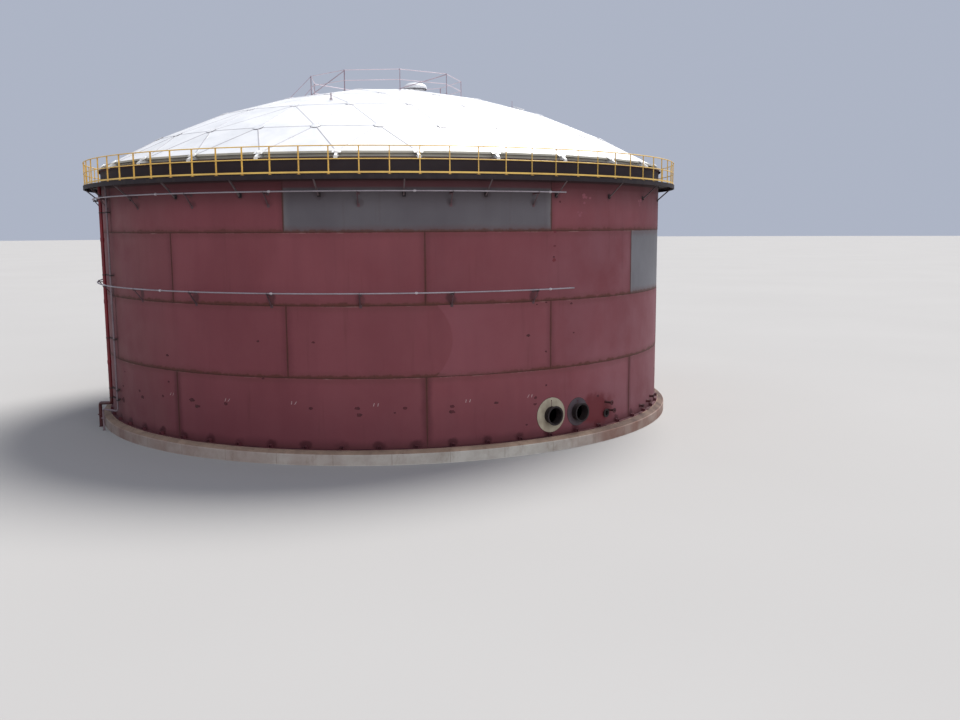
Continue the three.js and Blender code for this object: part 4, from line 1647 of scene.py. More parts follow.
@dataclass
class AnchorChairs:
    """Bolted chairs on the chime: base ring, two gussets, a top plate, a bolt and a nut each."""

    shop: Workshop
    count: int = 60
    first: float = -2.0
    width: float = 0.15
    depth: float = 0.148
    height: float = 0.15
    base: float = 0.008
    gusset: float = 0.012
    slope: float = 0.018
    bolt: float = 0.014
    bolt_place: float = 0.085
    nut: float = 0.026

    def build(self) -> None:
        """Builds one chair, grows the ring and adds the base ring."""
        maroon = self.shop.finishes.maroon
        foot = SHELL_FOOT + self.base
        ring = Form()
        ring.ring(oblong(WELDED_ON, SHELL_RADIUS + self.depth, SHELL_FOOT, foot))
        place(ring.make("chair_base_ring"), maroon, ["anchor_chairs"])
        chair = Form()
        side, out = sideways(0), outward(0)
        r0, r1 = WELDED_ON, SHELL_RADIUS + self.depth - 0.003
        top = SHELL_FOOT + self.height
        inner = polar(r0, 0, top - 0.012)
        outer = polar(r1, 0, top - 0.012 - self.slope)
        for s in (-1, 1):
            shift = side * s * (self.width / 2 - self.gusset / 2)
            chair.slab([p + shift for p in (polar(r0, 0, foot), polar(r1, 0, foot), outer, inner)],
                side * self.gusset)
        chair.block(polar((r0 + r1) / 2, 0, top - 0.014), side * self.width / 2, (outer - inner) / 2,
            UP * 0.006)
        bolt = polar(r0 + self.bolt_place, 0, 0)
        chair.rod(bolt, UP, self.bolt, foot, top + 0.016, 10, crown=0.004)
        chair.rod(bolt, UP, self.nut, top - 0.012, top + 0.004, 6)
        chair.block(bolt + UP * (top - 0.011), side * 0.04, out * 0.035, UP * 0.004)
        self.shop.ring(chair.make("chair_weldments"), Slot.RED, maroon, self.count, self.first,
            360 / self.count)


@dataclass
class CurbAngle:
    """Angle round the shell's top edge."""

    shop: Workshop
    leg: float = 0.1
    thick: float = 0.01

    def build(self) -> None:
        """Builds the curb."""
        r, z, t = SHELL_RADIUS + 0.0003, SHELL_TOP, self.thick
        form = Form()
        form.ring([(r, z - self.leg), (r + t, z - self.leg), (r + t, z - t), (r + self.leg, z - t),
            (r + self.leg, z), (r, z)])
        place(form.make("curb_ring"), self.shop.finishes.maroon, ["curb_angle"])


@dataclass
class Walkway:
    """Deck plates with treads, edge channel and knee braces."""

    shop: Workshop
    thick: float = 0.008
    rim: float = 15.842
    joint: float = 0.024
    treads: int = 720
    tread_rows: int = 5
    tread_pitch: float = 0.13
    beam_depth: float = 0.18
    beam_width: float = 0.065
    web: float = 0.007
    drop: float = 0.84
    leg: float = 0.06

    def build(self) -> None:
        """Builds and dresses the walkway."""
        deck_finish = self.shop.finishes.deck
        low = DECK_TOP - self.thick
        deck = Form()
        pitch = 360 / BRACES
        for i in range(BRACES):
            start = FIRST_BRACE + i * pitch + self.joint / 2
            deck.ring(oblong(SHELL_RADIUS + 0.002, self.rim, low, DECK_TOP), start,
                start + pitch - self.joint, 9)
        place(deck.make("deck_plates"), deck_finish, ["walkway_deck"])
        treads = Form()
        for row in range(self.tread_rows):
            r = SHELL_RADIUS + 0.14 + row * self.tread_pitch
            treads.block(polar(r, 0, DECK_TOP + 0.0012), sideways(0) * 0.028, outward(0) * 0.006, UP * 0.0022)
        turn = 360 / self.treads
        self.shop.ring(treads.make("deck_treads"), Slot.DARK, deck_finish, self.treads, turn / 2, turn)
        beam = Form()
        r, t, w = self.rim - 0.004, self.web, self.beam_width
        bottom = low - self.beam_depth
        beam.ring([(r - w, low), (r, low), (r, bottom), (r - w, bottom), (r - w, bottom + t),
            (r - t, bottom + t), (r - t, low - t), (r - w, low - t)])
        place(beam.make("edge_channel"), deck_finish, ["walkway_brackets"])
        self.knees(low)

    def knees(self, low: float) -> None:
        """Builds one knee brace and grows the ring of them.

        Args:
            low: underside of the deck.
        """
        brace, pads = Form(), Form()
        side, out = sideways(0), outward(0)
        leg, t = self.leg, self.web
        arm = [polar(WELDED_ON, 0, low), polar(self.rim - 0.08, 0, low)]
        brace.sweep([(0, 0), (0, -leg), (t, -leg), (t, -t), (leg, -t), (leg, 0)], arm)
        foot = polar(WELDED_ON + 0.02, 0, low - self.drop + 0.03)
        head = polar(self.rim - 0.05, 0, low - 0.14)
        up = (head - foot).cross(side).normalized()
        brace.sweep(angle_section(leg, t, 0.01, 0.02), [foot, head], up)
        pads.block(polar(WELDED_ON + 0.005, 0, low - self.drop + 0.07), side * 0.075, out * 0.005, UP * 0.1)
        pads.block(polar(WELDED_ON + 0.005, 0, low - 0.06), side * 0.07, out * 0.005, UP * 0.06)
        for s in (head, foot):
            pads.block(s + side * 0.012, side * 0.004, out * 0.05, UP * 0.045)
        f = self.shop.finishes
        for form, name, finish in ((brace, "knee_braces", f.brace), (pads, "knee_brace_pads", f.deck)):
            self.shop.ring(form.make(name), Slot.DARK, finish, BRACES, FIRST_BRACE, 360 / BRACES)


@dataclass
class Handrail:
    """Posts, top rail, middle rail and toe board, in three lengths."""

    shop: Workshop
    posts: int = 81
    first: float = 0.43
    radius: float = 15.7775
    top: float = 13.2
    mid: float = 12.68
    toe: float = 12.165
    board: float = 0.07
    tube: float = 0.0235
    mid_tube: float = 0.022
    looseness: float = 0.01
    lengths: tuple[str, ...] = ("handrail_front", "handrail_right", "handrail_left")

    def build(self) -> None:
        """Builds and dresses the three lengths."""
        bay = 360 / self.posts
        bays = self.posts // len(self.lengths)
        finish = self.shop.finishes.yellow
        for place_no, node in enumerate(self.lengths):
            first = self.first + (place_no * bays - (bays - 1) / 2) * bay
            start, end = first - bay / 2, first + (bays - 0.5) * bay
            rails = Form()
            sections = [[(self.radius + x, z - self.tube + y) for x, y in circle(r, 10)] for z,
                r in ((self.top, self.tube), (self.mid, self.mid_tube))]
            sections.append(oblong(self.radius + 0.012, self.radius + 0.018, self.toe - self.board, self.toe))
            for section in sections:
                rails.ring(section, start, end, bays * 4)
            place(rails.make("rails_" + node), finish, [node])
            self.shop.ring(self.post("posts_" + node), Slot.YELLOW, finish, bays, first, bay, self.looseness)

    def post(self, name: str) -> bpy.types.Object:
        """Builds one post with its foot plate, bolts and saddle for the top rail.

        Args:
            name: of the piece.

        Returns:
            The post at azimuth 0.
        """
        form = Form()
        side, out = sideways(0), outward(0)
        inner = self.radius - 0.012
        half, thick = 0.023, 0.006
        outline = [(-half, -0.028), (half, -0.028), (half, -0.028 + thick), (-half + thick, -0.028 + thick),
            (-half + thick, 0.024), (-half, 0.024)]
        form.loft([[polar(inner, 0, z) + side * x + out * y for x, y in outline]
            for z in (DECK_TOP + 0.01, self.top - 0.03)])
        form.block(polar(inner, 0, DECK_TOP + 0.006), side * 0.06, out * 0.045, UP * 0.006)
        for x in (-0.042, 0.042):
            form.rod(polar(inner, 0, DECK_TOP + 0.012) + side * x, UP, 0.011, 0, 0.012, 6)
        form.block(polar(self.radius, 0, self.top - 0.04), side * 0.03, out * 0.02, UP * 0.008)
        return form.make(name)


Hub = tuple[int, int]
Edges = dict[tuple[Hub, Hub], tuple[Vector, Vector, Vector]]


@dataclass
class Dome:
    """Geodesic dome: triangular sheets, battens with screws, hub covers, edge ring, fascia and legs."""

    shop: Workshop
    sphere: float = 27.768
    apex: float = 17.2
    sectors: int = 7
    rings: int = 4
    ring_step: float = 3.08
    azimuth: float = -27.1
    rim: float = 14.8
    skin: float = 0.004
    flat: float = 1.0
    crown_rings: int = 1
    crown_lift: float = 0.1
    rim_lift: float = 0.085
    batten: float = 0.038
    batten_height: float = 0.012
    fascia_gap: float = 0.35

    def centre(self) -> Vector:
        """Centre of the sphere that the hubs lie on."""
        return Vector((0, 0, self.apex - self.sphere))

    def on_sphere(self, radius: float, azimuth: float, inset: float = 0.0) -> Vector:
        """Point on the sphere, or under it by an inset.

        Args:
            radius: distance from the axis.
            azimuth: in degrees.
            inset: depth under the sphere.

        Returns:
            The point.
        """
        z = self.centre().z + math.sqrt(self.sphere ** 2 - radius ** 2)
        p = polar(radius, azimuth, z)
        return p + (self.centre() - p).normalized() * inset

    def over(self, x: float, y: float) -> Vector:
        """Point on the sphere over a place on the plan."""
        return Vector((x, y, self.on_sphere(math.hypot(x, y), 0).z))

    def rim_point(self, azimuth: float, inset: float = 0.0) -> Vector:
        """Point on the rim, which stands a little over the sphere, or under it by an inset."""
        return self.on_sphere(self.rim, azimuth, inset) + UP * self.rim_lift

    def hub(self, ring: int, place_no: int, inset: float = 0.0) -> Vector:
        """Hub of a ring by its place; ring 5 is the rim, half a step round.

        Args:
            ring: 0 at the apex.
            place_no: its place on the ring.
            inset: depth under the skin.

        Returns:
            The hub's point.
        """
        lift = UP * (self.crown_lift if ring <= self.crown_rings else 0.0)
        if ring == 0:
            return self.on_sphere(0, self.azimuth, inset) + lift
        if ring > self.rings:
            places = self.sectors * self.rings
            return self.rim_point(self.azimuth + 360 * ((place_no % places) + 0.5) / places, inset)
        places = self.sectors * ring
        return self.on_sphere(self.ring_step * ring, self.azimuth + 360 * (place_no % places) / places,
            inset) + lift

    def panels(self, sector: int) -> list[tuple[Hub, ...]]:
        """Triangles of a sector as triples of (ring, place).

        Args:
            sector: 0 to 6.

        Returns:
            The triples.
        """
        result = []
        for ring in range(1, self.rings + 1):
            up, low = sector * (ring - 1), sector * ring
            for i in range(ring):
                result.append(((ring - 1, up + i), (ring, low + i), (ring, low + i + 1)))
                if i > 0:
                    result.append(((ring - 1, up + i - 1), (ring, low + i), (ring - 1, up + i)))
        last, rim = self.rings, self.rings + 1
        for i in range(self.rings):
            k = sector * self.rings + i
            result.append(((last, k), (rim, k), (last, k + 1)))
            result.append(((last, k + 1), (rim, k), (rim, k + 1)))
        return result

    def key(self, hub: Hub) -> Hub:
        """One name for each hub, whichever sector asks.

        Args:
            hub: ring and place.

        Returns:
            Ring and place, with the place inside one turn.
        """
        ring, place_no = hub
        if ring == 0:
            return 0, 0
        return ring, place_no % (self.sectors * min(ring, self.rings))

    def build(self) -> None:
        """Builds and dresses the whole dome."""
        edges: Edges = {}
        for sector in range(self.sectors):
            form = Form()
            for triple in self.panels(sector):
                top = [self.hub(*h) for h in triple]
                form.loft([[self.hub(*h, inset=self.skin) for h in triple], top])
                normal = (top[1] - top[0]).cross(top[2] - top[0]).normalized()
                normal = normal if normal.z > 0 else -normal
                for i in range(3):
                    a, b = self.key(triple[i]), self.key(triple[(i + 1) % 3])
                    name = (a, b) if a < b else (b, a)
                    seen = edges.get(name)
                    mean = normal if seen is None else (seen[2] + normal).normalized()
                    edges[name] = (self.hub(*name[0]), self.hub(*name[1]), mean)
            number = sector + 1
            place(form.make("dome_sheets_%d" % number, self.flat), self.shop.finishes.dome,
                ["dome_sector_%d" % number])
        self.battens(edges)
        self.hub_covers()
        self.edge()

    def battens(self, edges: Edges) -> None:
        """Battens along the sheets' edges, with screws on both sides of each.

        Args:
            edges: ends and mean normal of each edge.
        """
        f = self.shop.finishes
        outer, crown = Form(), Form()
        lines = []
        half, high = self.batten, self.batten_height
        flank = half * 0.62
        section = [(-half, -0.003), (half, -0.003), (half, 0.004), (flank, high), (-flank, high),
            (-half, 0.004)]
        for name, (a, b, normal) in edges.items():
            # Rim battens take the darker tone, painted shade; crown battens the lighter one, painted light.
            form = outer if name[1][0] > self.rings else crown
            ahead = (b - a).normalized()
            start, end = a + ahead * 0.2, b - ahead * 0.2
            form.sweep(section, [start, end], normal)
            side = ahead.cross(normal).normalized()
            for s in (-1, 1):
                lines.append([start + side * s * half * 0.8 + normal * 0.008 + ahead * 0.1,
                    end + side * s * half * 0.8 + normal * 0.008 - ahead * 0.1])
        place(outer.make("dome_battens"), f.batten)
        place(crown.make("crown_battens"), f.crown_batten)
        self.shop.heads("batten_screws", lines, False, 0.45, 0.009, 0.009, self.centre())

    def hub_covers(self) -> None:
        """Round covers over the hubs, each on a gasket, with a ring of bolts."""
        f = self.shop.finishes
        covers, shade_gaskets, pale, bolts = Form(), Form(), Form(), []
        cap = [(0, 0.012), (0.226, 0.012), (0.23, 0.015), (0.214, 0.02), (0.12, 0.026), (0, 0.028)]
        hubs = {self.key(h) for sector in range(self.sectors) for triple in self.panels(sector)
            for h in triple}
        for ring, place_no in sorted(h for h in hubs if h[0] <= self.rings):
            hub = self.hub(ring, place_no)
            axis = (hub - self.centre()).normalized()
            # Outer hubs get the dark gasket, painted shade under the cover; the crown's get the pale one,
            # painted light.
            under = shade_gaskets if ring == self.rings else pale
            under.rod(hub, axis, 0.236, -0.01, 0.012, 28)
            covers.turn(cap, hub, axis, 28, closed=False)
            side = axis.orthogonal().normalized()
            other = axis.cross(side)
            bolts.append([hub + (side * x + other * y) * 0.185 + axis * 0.024 for x, y in circle(1.0, 12)])
        for form, name, finish in ((covers, "hub_covers", f.dome), (shade_gaskets, "hub_gaskets_painted_shade", f.gasket),
                (pale, "crown_hub_gaskets_painted_light", f.lit_pale_gasket)):
            place(form.make(name), finish)
        self.shop.heads("hub_bolts", bolts, True, 0.096, 0.011, 0.012, self.centre())

    def edge(self) -> None:
        """Flashing, edge ring with its fascia, and the brackets at the rim's hubs."""
        count = self.sectors * self.rings
        pitch = 360 / count
        first = self.azimuth + pitch / 2
        low = SHELL_TOP + 0.005
        self.flashing(low)
        self.fascia(low + 0.001, first, pitch, count)
        self.shop.ring(self.rim_bracket(low), Slot.MILL, self.shop.finishes.bracket, count, first, pitch)

    def flashing(self, top: float) -> None:
        """Flashing over the curb, with a hem at its lower edge; its dark colour is painted shade for the gap
        under the dome's edge.

        Args:
            top: height of its top.
        """
        inner, lip = 14.485, 15.108
        hem, shelf = SHELL_TOP - 0.055, SHELL_TOP + 0.0005
        form = Form()
        form.ring([(inner, shelf), (lip - 0.004, shelf), (lip - 0.004, hem + 0.006), (lip + 0.002, hem),
            (lip + 0.004, hem + 0.004), (lip, hem + 0.01), (lip, top - 0.003), (lip - 0.003, top),
            (inner, top)])
        place(form.make("flashing_ring"), self.shop.finishes.hem, ["edge_flashing"])

    def fascia(self, low: float, first: float, pitch: float, count: int) -> None:
        """Straight lengths of edge tube and fascia between the rim's hubs.

        Args:
            low: underside of the tube.
            first: azimuth of the first hub.
            pitch: degrees between hubs.
            count: how many hubs.
        """
        z = self.rim_point(0).z
        tube = [(14.6, low), (14.7, low), (14.7, z - 0.055), (14.6, z - 0.03)]
        lip = [(14.82, z - 0.05), (14.845, z - 0.055), (14.84, z + 0.03), (14.832, z + 0.037),
            (14.76, z + 0.049), (14.76, z + 0.041), (14.826, z + 0.029)]
        form = Form()
        for i in range(count):
            ends = (first + i * pitch + self.fascia_gap, first + (i + 1) * pitch - self.fascia_gap)
            for section in (tube, lip):
                form.loft([[polar(r, azimuth, h) for r, h in section] for azimuth in ends])
        place(form.make("rim_fascia_lengths"), self.shop.finishes.fascia, ["dome_edge_ring"])

    def rim_bracket(self, low: float) -> bpy.types.Object:
        """Builds one leg down to the curb, with its seat, cover and bolts.

        Args:
            low: top of the flashing.

        Returns:
            The bracket at azimuth 0.
        """
        leg = Form()
        side, out = sideways(0), outward(0)
        seat = self.rim_point(0)
        z = seat.z
        outline = [polar(14.62, 0, low + 0.002), polar(14.9, 0, low + 0.002), polar(15.07, 0, low + 0.03),
            polar(14.80, 0, z - 0.02), polar(14.62, 0, z - 0.03)]
        for s in (-1, 1):
            leg.slab([p + side * s * 0.07 for p in outline], side * 0.012)
        leg.sweep(oblong(-0.06, 0.06, -0.03, 0.03), [polar(14.78, 0, z + 0.03), polar(15.17, 0, low + 0.01)])
        leg.block(polar(14.99, 0, low + 0.012), side * 0.13, out * 0.1, UP * 0.01)
        leg.block(polar(15.15, 0, low - 0.03), side * 0.075, out * 0.045, UP * 0.04)
        tilt = (seat - self.centre()).normalized()
        along = side.cross(tilt).normalized()
        leg.block(seat + tilt * 0.05 + along * 0.03, side * 0.19, along * 0.15, tilt * 0.011)
        leg.turn([(0, 0.04), (0.12, 0.04), (0.11, 0.09), (0, 0.1)], seat + along * 0.04, tilt, 20,
            closed=False)
        for x in (-0.14, 0, 0.14):
            for y in (-0.06, 0.1):
                leg.rod(seat + tilt * 0.058 + side * x + along * y, tilt, 0.013, 0, 0.012, 6, crown=0.002)
        return leg.make("rim_brackets")


@dataclass
class RoofVent:
    """Pressure vent with a mushroom cap near the apex."""

    shop: Workshop
    dome: Dome
    x: float = 1.6
    y: float = -2.1
    cap: float = 0.63
    neck: float = 0.38
    rise: float = 0.49
    far_below: float = -500.0

    def build(self) -> None:
        """Builds the vent."""
        f = self.shop.finishes
        origin = self.dome.over(self.x, self.y)
        cap, neck, top = self.cap, self.neck, self.rise
        form = Form()
        form.rod(origin, UP, neck, -0.1, top - 0.24, 40)
        form.turn([(0, top - 0.3), (cap - 0.03, top - 0.33), (cap, top - 0.325), (cap, top - 0.27),
            (0.965 * cap, top - 0.2), (0.88 * cap, top - 0.13), (0.74 * cap, top - 0.075),
            (0.6 * cap, top - 0.037), (0.35 * cap, top - 0.01), (0, top)], origin, UP, 48, closed=False)
        form.turn([(neck - 0.01, 0.0), (neck + 0.09, 0.0), (neck + 0.09, 0.105), (neck + 0.11, 0.105),
            (neck + 0.11, 0.125), (neck - 0.01, 0.125)], origin, UP, 40)
        form.turn(oblong(neck - 0.01, neck + 0.05, top - 0.36, top - 0.335), origin, UP, 40)
        form.rod(origin, UP, 0.05, top - 0.01, top - 0.002, 16, crown=0.001)
        place(form.make("vent_body"), f.dome, ["roof_vent"])
        bolts = [[origin + Vector((x, y, 0.124)) for x, y in circle(neck + 0.07, 16)]]
        self.shop.heads("vent_bolts", bolts, True, 0.16, 0.014, 0.03, (self.x, self.y, self.far_below))
        screen = Form()
        screen.turn(oblong(0.9 * cap, 0.965 * cap, top - 0.335, top - 0.36), origin, UP, 48)
        place(screen.make("vent_screen"), f.gasket)


@dataclass
class GuardRail:
    """Nine-sided rail round the apex, with diagonals and raking braces."""

    shop: Workshop
    dome: Dome
    posts: int = 9
    first: float = -29.8
    radius: float = 4.2
    height: float = 1.1
    mid: float = 0.56
    bar: float = 0.018
    diagonal_bar: float = 0.022
    raker_bar: float = 0.016
    diagonals: tuple[tuple[int, int], ...] = ((8, 0), (1, 2), (4, 5))
    rakers: tuple[tuple[int, float, float], ...] = ((8, 5.55, -66.5), (7, 5.0, -100.0))

    def build(self) -> None:
        """Builds the rail."""
        base = self.dome.on_sphere(self.radius, 0).z
        pitch = 360 / self.posts
        azimuths = [self.first + i * pitch for i in range(self.posts)]
        rails, angles = Form(), Form()
        for azimuth in azimuths:
            foot = polar(self.radius, azimuth, base + 0.03)
            top = polar(self.radius, azimuth, base + self.height - 0.001)
            side, out = sideways(azimuth), outward(azimuth)
            angles.sweep(angle_section(0.04, 0.006, 0.004, 0.004), [foot, top], out)
            angles.block(foot + UP * 0.045, side * 0.08, out * 0.06, UP * 0.005)
            for z in (base + self.mid, base + self.height - 0.022):
                rails.tube([polar(self.radius, azimuth, z), polar(self.radius, azimuth + pitch, z)], self.bar,
                    8)
            angles.block(top - UP * 0.03, side * 0.028, out * 0.012, UP * 0.03)
        for low_post, high_post in self.diagonals:
            low = polar(self.radius, azimuths[low_post], base + 0.1)
            high = polar(self.radius, azimuths[high_post], base + self.height - 0.06)
            angles.tube([low, high], self.diagonal_bar, 8)
        for post, radius, azimuth in self.rakers:
            top = polar(self.radius, azimuths[post], base + self.height - 0.03)
            angles.tube([top, self.dome.on_sphere(radius, azimuth)], self.raker_bar, 8)
        place(rails.make("apex_rail"), self.shop.finishes.rail, ["roof_guard_rail"])
        place(angles.make("apex_rail_angles"), self.shop.finishes.dull_rail)


@dataclass
class RoofFittings:
    """Small stub, spike and hatch cover on the dome; a stub is its x, y, radius and height."""

    shop: Workshop
    dome: Dome
    stubs: tuple[tuple[float, float, float, float], ...] = ((-2.57, -7.72, 0.03, 0.28),
        (6.56, -4.1, 0.014, 0.3))
    hatch: Point2 = (6.9, -4.2)

    def build(self) -> None:
        """Builds the fittings."""
        f = self.shop.finishes
        form = Form()
        for x, y, r, high in self.stubs:
            origin = self.dome.over(x, y)
            form.rod(origin, UP, r, -0.03, high, 12)
            form.rod(origin, UP, r * 2.6, -0.02, 0.014, 16)
        place(form.make("roof_stubs"), f.dull_rail)
        lid = Form()
        hatch = self.dome.over(*self.hatch)
        axis = (hatch - self.dome.centre()).normalized()
        side = axis.cross(UP).normalized()
        lid.block(hatch + axis * 0.016, side * 0.24, axis.cross(side) * 0.2, axis * 0.025)
        lid.block(hatch + axis * 0.046, side * 0.26, axis.cross(side) * 0.22, axis * 0.006)
        place(lid.make("roof_hatch_cover"), f.dome)


@dataclass
class CoolingPipe:
    """Pipe round the shell on stand-off brackets, with couplings and U-bolts.

    A row of brackets is its first azimuth, its pitch and its count.
    """

    shop: Workshop
    node: str
    height: float
    end: float
    couplings: tuple[float, ...]
    radius: float = 15.42
    pipe: float = 0.031
    opening: float = 70.0
    pitch: float = 22.35
    tip_pitch: float = 1.5
    drop: float = 0.53
    arm: float = 0.05
    thick: float = 0.006
    front_row: tuple[float, float, int] = (FRONT_HANGER, HANGER_PITCH, 7)
    back_row: tuple[float, float, int] = (BACK_HANGER - 13 * 360 / BRACES, 360 / BRACES, 14)

    def build(self) -> None:
        """Builds and dresses the pipe."""
        f = self.shop.finishes
        start = self.end - 360 + self.opening
        form, sleeves = Form(), Form()
        section = [(self.radius + x, self.height + y) for x, y in circle(self.pipe, 12)]
        form.ring(section, start, self.end, ROUND_STEPS)
        places = list(self.couplings)
        azimuth = min(places) - self.pitch
        while azimuth > start + 4:
            places.append(azimuth)
            azimuth -= self.pitch
        for a in places:
            self.coupling(sleeves, a)
        place(sleeves.make("couplings_" + self.node), f.coupling)
        r = self.pipe
        cap = [(0, 0), (r + 0.006, 0), (r + 0.006, 0.05), (r - 0.004, 0.06), (0, 0.064)]
        for a, way in ((start, -1), (self.end, 1)):
            form.turn(cap, polar(self.radius, a, self.height), sideways(a) * way, 16, closed=False)
        self.spray_tips(form, start)
        place(form.make("pipe_" + self.node), f.galvanised, [self.node])
        for row, (first, step, count) in (("front", self.front_row), ("back", self.back_row)):
            piece = self.bracket("%s_brackets_%s" % (row, self.node))
            self.shop.ring(piece, Slot.GALVANISED, f.hanger, count, first, step)

    def bracket(self, name: str) -> bpy.types.Object:
        """Builds one stand-off bracket: arm, strut, wall plates and a U-bolt over the pipe.

        Args:
            name: of the piece.

        Returns:
            The bracket at azimuth 0.
        """
        form = Form()
        side, out = sideways(0), outward(0)
        z = self.height - self.pipe - 0.004
        leg, t = self.arm, self.thick
        form.sweep([(0, 0), (0, -leg), (t, -leg), (t, -t), (leg, -t), (leg, 0)],
            [polar(WELDED_ON, 0, z), polar(self.radius + 0.06, 0, z)])
        low, high = polar(WELDED_ON, 0, z - self.drop), polar(self.radius - 0.03, 0, z - 0.03)
        form.sweep(angle_section(0.045, t, 0.008, 0.016), [low, high], (high - low).cross(side).normalized())
        for middle in (z - 0.03, z - self.drop):
            form.block(polar(WELDED_ON + 0.004, 0, middle), side * 0.06, out * 0.004, UP * 0.07)
        r = self.pipe + t
        bolt = [polar(self.radius, 0, self.height) + out * r * math.cos(a) + UP * r * math.sin(a)
            for a in (math.pi * i / 10 for i in range(11))]
        form.tube([bolt[0] - UP * 0.06] + bolt + [bolt[-1] - UP * 0.06], 0.006, 6)
        return form.make(name)

    def coupling(self, form: Form, azimuth: float) -> None:
        """Adds a pair of bolted flanges with a sleeve between them.

        Args:
            form: what it is added to.
            azimuth: where it stands.
        """
        r = self.pipe
        half = [(r + 0.014, 0), (r + 0.024, 0.004), (r + 0.024, 0.03), (r + 0.01, 0.035), (r + 0.006, 0.065),
            (0, 0.065)]
        section = [(x, -y) for x, y in reversed(half[1:])] + half
        form.turn(section, polar(self.radius, azimuth, self.height), sideways(azimuth), 16, closed=False)

    def spray_tips(self, form: Form, start: float) -> None:
        """Adds the small outlets that face the shell.

        Args:
            form: what they are added to.
            start: azimuth at which the pipe starts.
        """
        azimuth = start + self.tip_pitch
        while azimuth < self.end:
            origin = polar(self.radius - self.pipe + 0.004, azimuth, self.height - 0.01)
            form.turn([(0, 0), (0.009, 0), (0.005, 0.022), (0, 0.022)], origin, -outward(azimuth), 6,
                closed=False)
            azimuth += self.tip_pitch


@dataclass
class Riser:
    """Pipe that climbs the shell, with clamps, couplings and a leg to the ground."""

    shop: Workshop
    node: str
    slot: Slot
    azimuth: float
    radius: float
    pipe: float
    foot: float
    leg_azimuth: float
    leg_radius: float
    leg_top: float
    top: float = 12.022
    bend: float = 0.16
    joints: Triple = (3.4, 6.4, 9.4)
    clamps: tuple[float, ...] = (1.62, 2.1, 4.6, 7.7, 10.7)
    rack: bool = False

    def build(self) -> None:
        """Builds and dresses the riser."""
        f = self.shop.finishes
        finish = f.red_pipe if self.slot is Slot.RED_PIPE else f.old_pipe
        leg, r = polar(self.leg_radius, self.leg_azimuth), self.pipe
        corners = [self.at(self.top), self.at(self.foot), leg + UP * self.leg_top, leg]
        form = Form()
        form.tube(rounded_path(corners, self.bend), r, 20)
        sleeve = [(0, -0.09), (r + 0.01, -0.09), (r + 0.014, -0.08), (r + 0.014, 0.08), (r + 0.01, 0.09),
            (0, 0.09)]
        for z in self.joints:
            form.turn(sleeve, self.at(z), UP, 20, closed=False)
        for low, high in ((0.6, 0.619), (0.621, 0.64)):
            form.rod(leg, UP, r + 0.055, low, high, 24)
        for x, y in circle(r + 0.035, 8):
            form.rod(leg + Vector((x, y, 0)), UP, 0.011, 0.585, 0.655, 6)
        form.rod(leg, UP, r + 0.03, 0.0, 0.02, 20)
        place(form.make("tube_" + self.node), finish, [self.node])
        holders = Form()
        for z in self.clamps:
            self.clamp(holders, z)
        place(holders.make("clamps_" + self.node), f.dark)

    def at(self, height: float) -> Vector:
        """Point on the riser's upright centre line."""
        return polar(self.radius, self.azimuth, height)

    def clamp(self, form: Form, z: float) -> None:
        """Adds a two-bolt clamp, and behind the wider riser the bar that carries both pipes.

        Args:
            form: what it is added to.
            z: its height.
        """
        side, out, r = sideways(self.azimuth), outward(self.azimuth), self.pipe
        if self.rack:
            form.ring(oblong(15.115, 15.16, z - 0.03, z + 0.03), -65.8, -60.6, 16)
            for azimuth in (-64.2, -62.0):
                form.block(polar(15.058, azimuth, z), sideways(azimuth) * 0.03, outward(azimuth) * 0.058,
                    UP * 0.03)
        form.turn(oblong(r + 0.001, r + 0.01, -0.028, 0.028), self.at(z), UP, 24)
        for s in (-1, 1):
            form.block(self.at(z) + side * s * (r + 0.03), side * 0.022, out * 0.006, UP * 0.028)
            form.rod(self.at(z) + side * s * (r + 0.034), out, 0.01, -0.03, 0.03, 6)


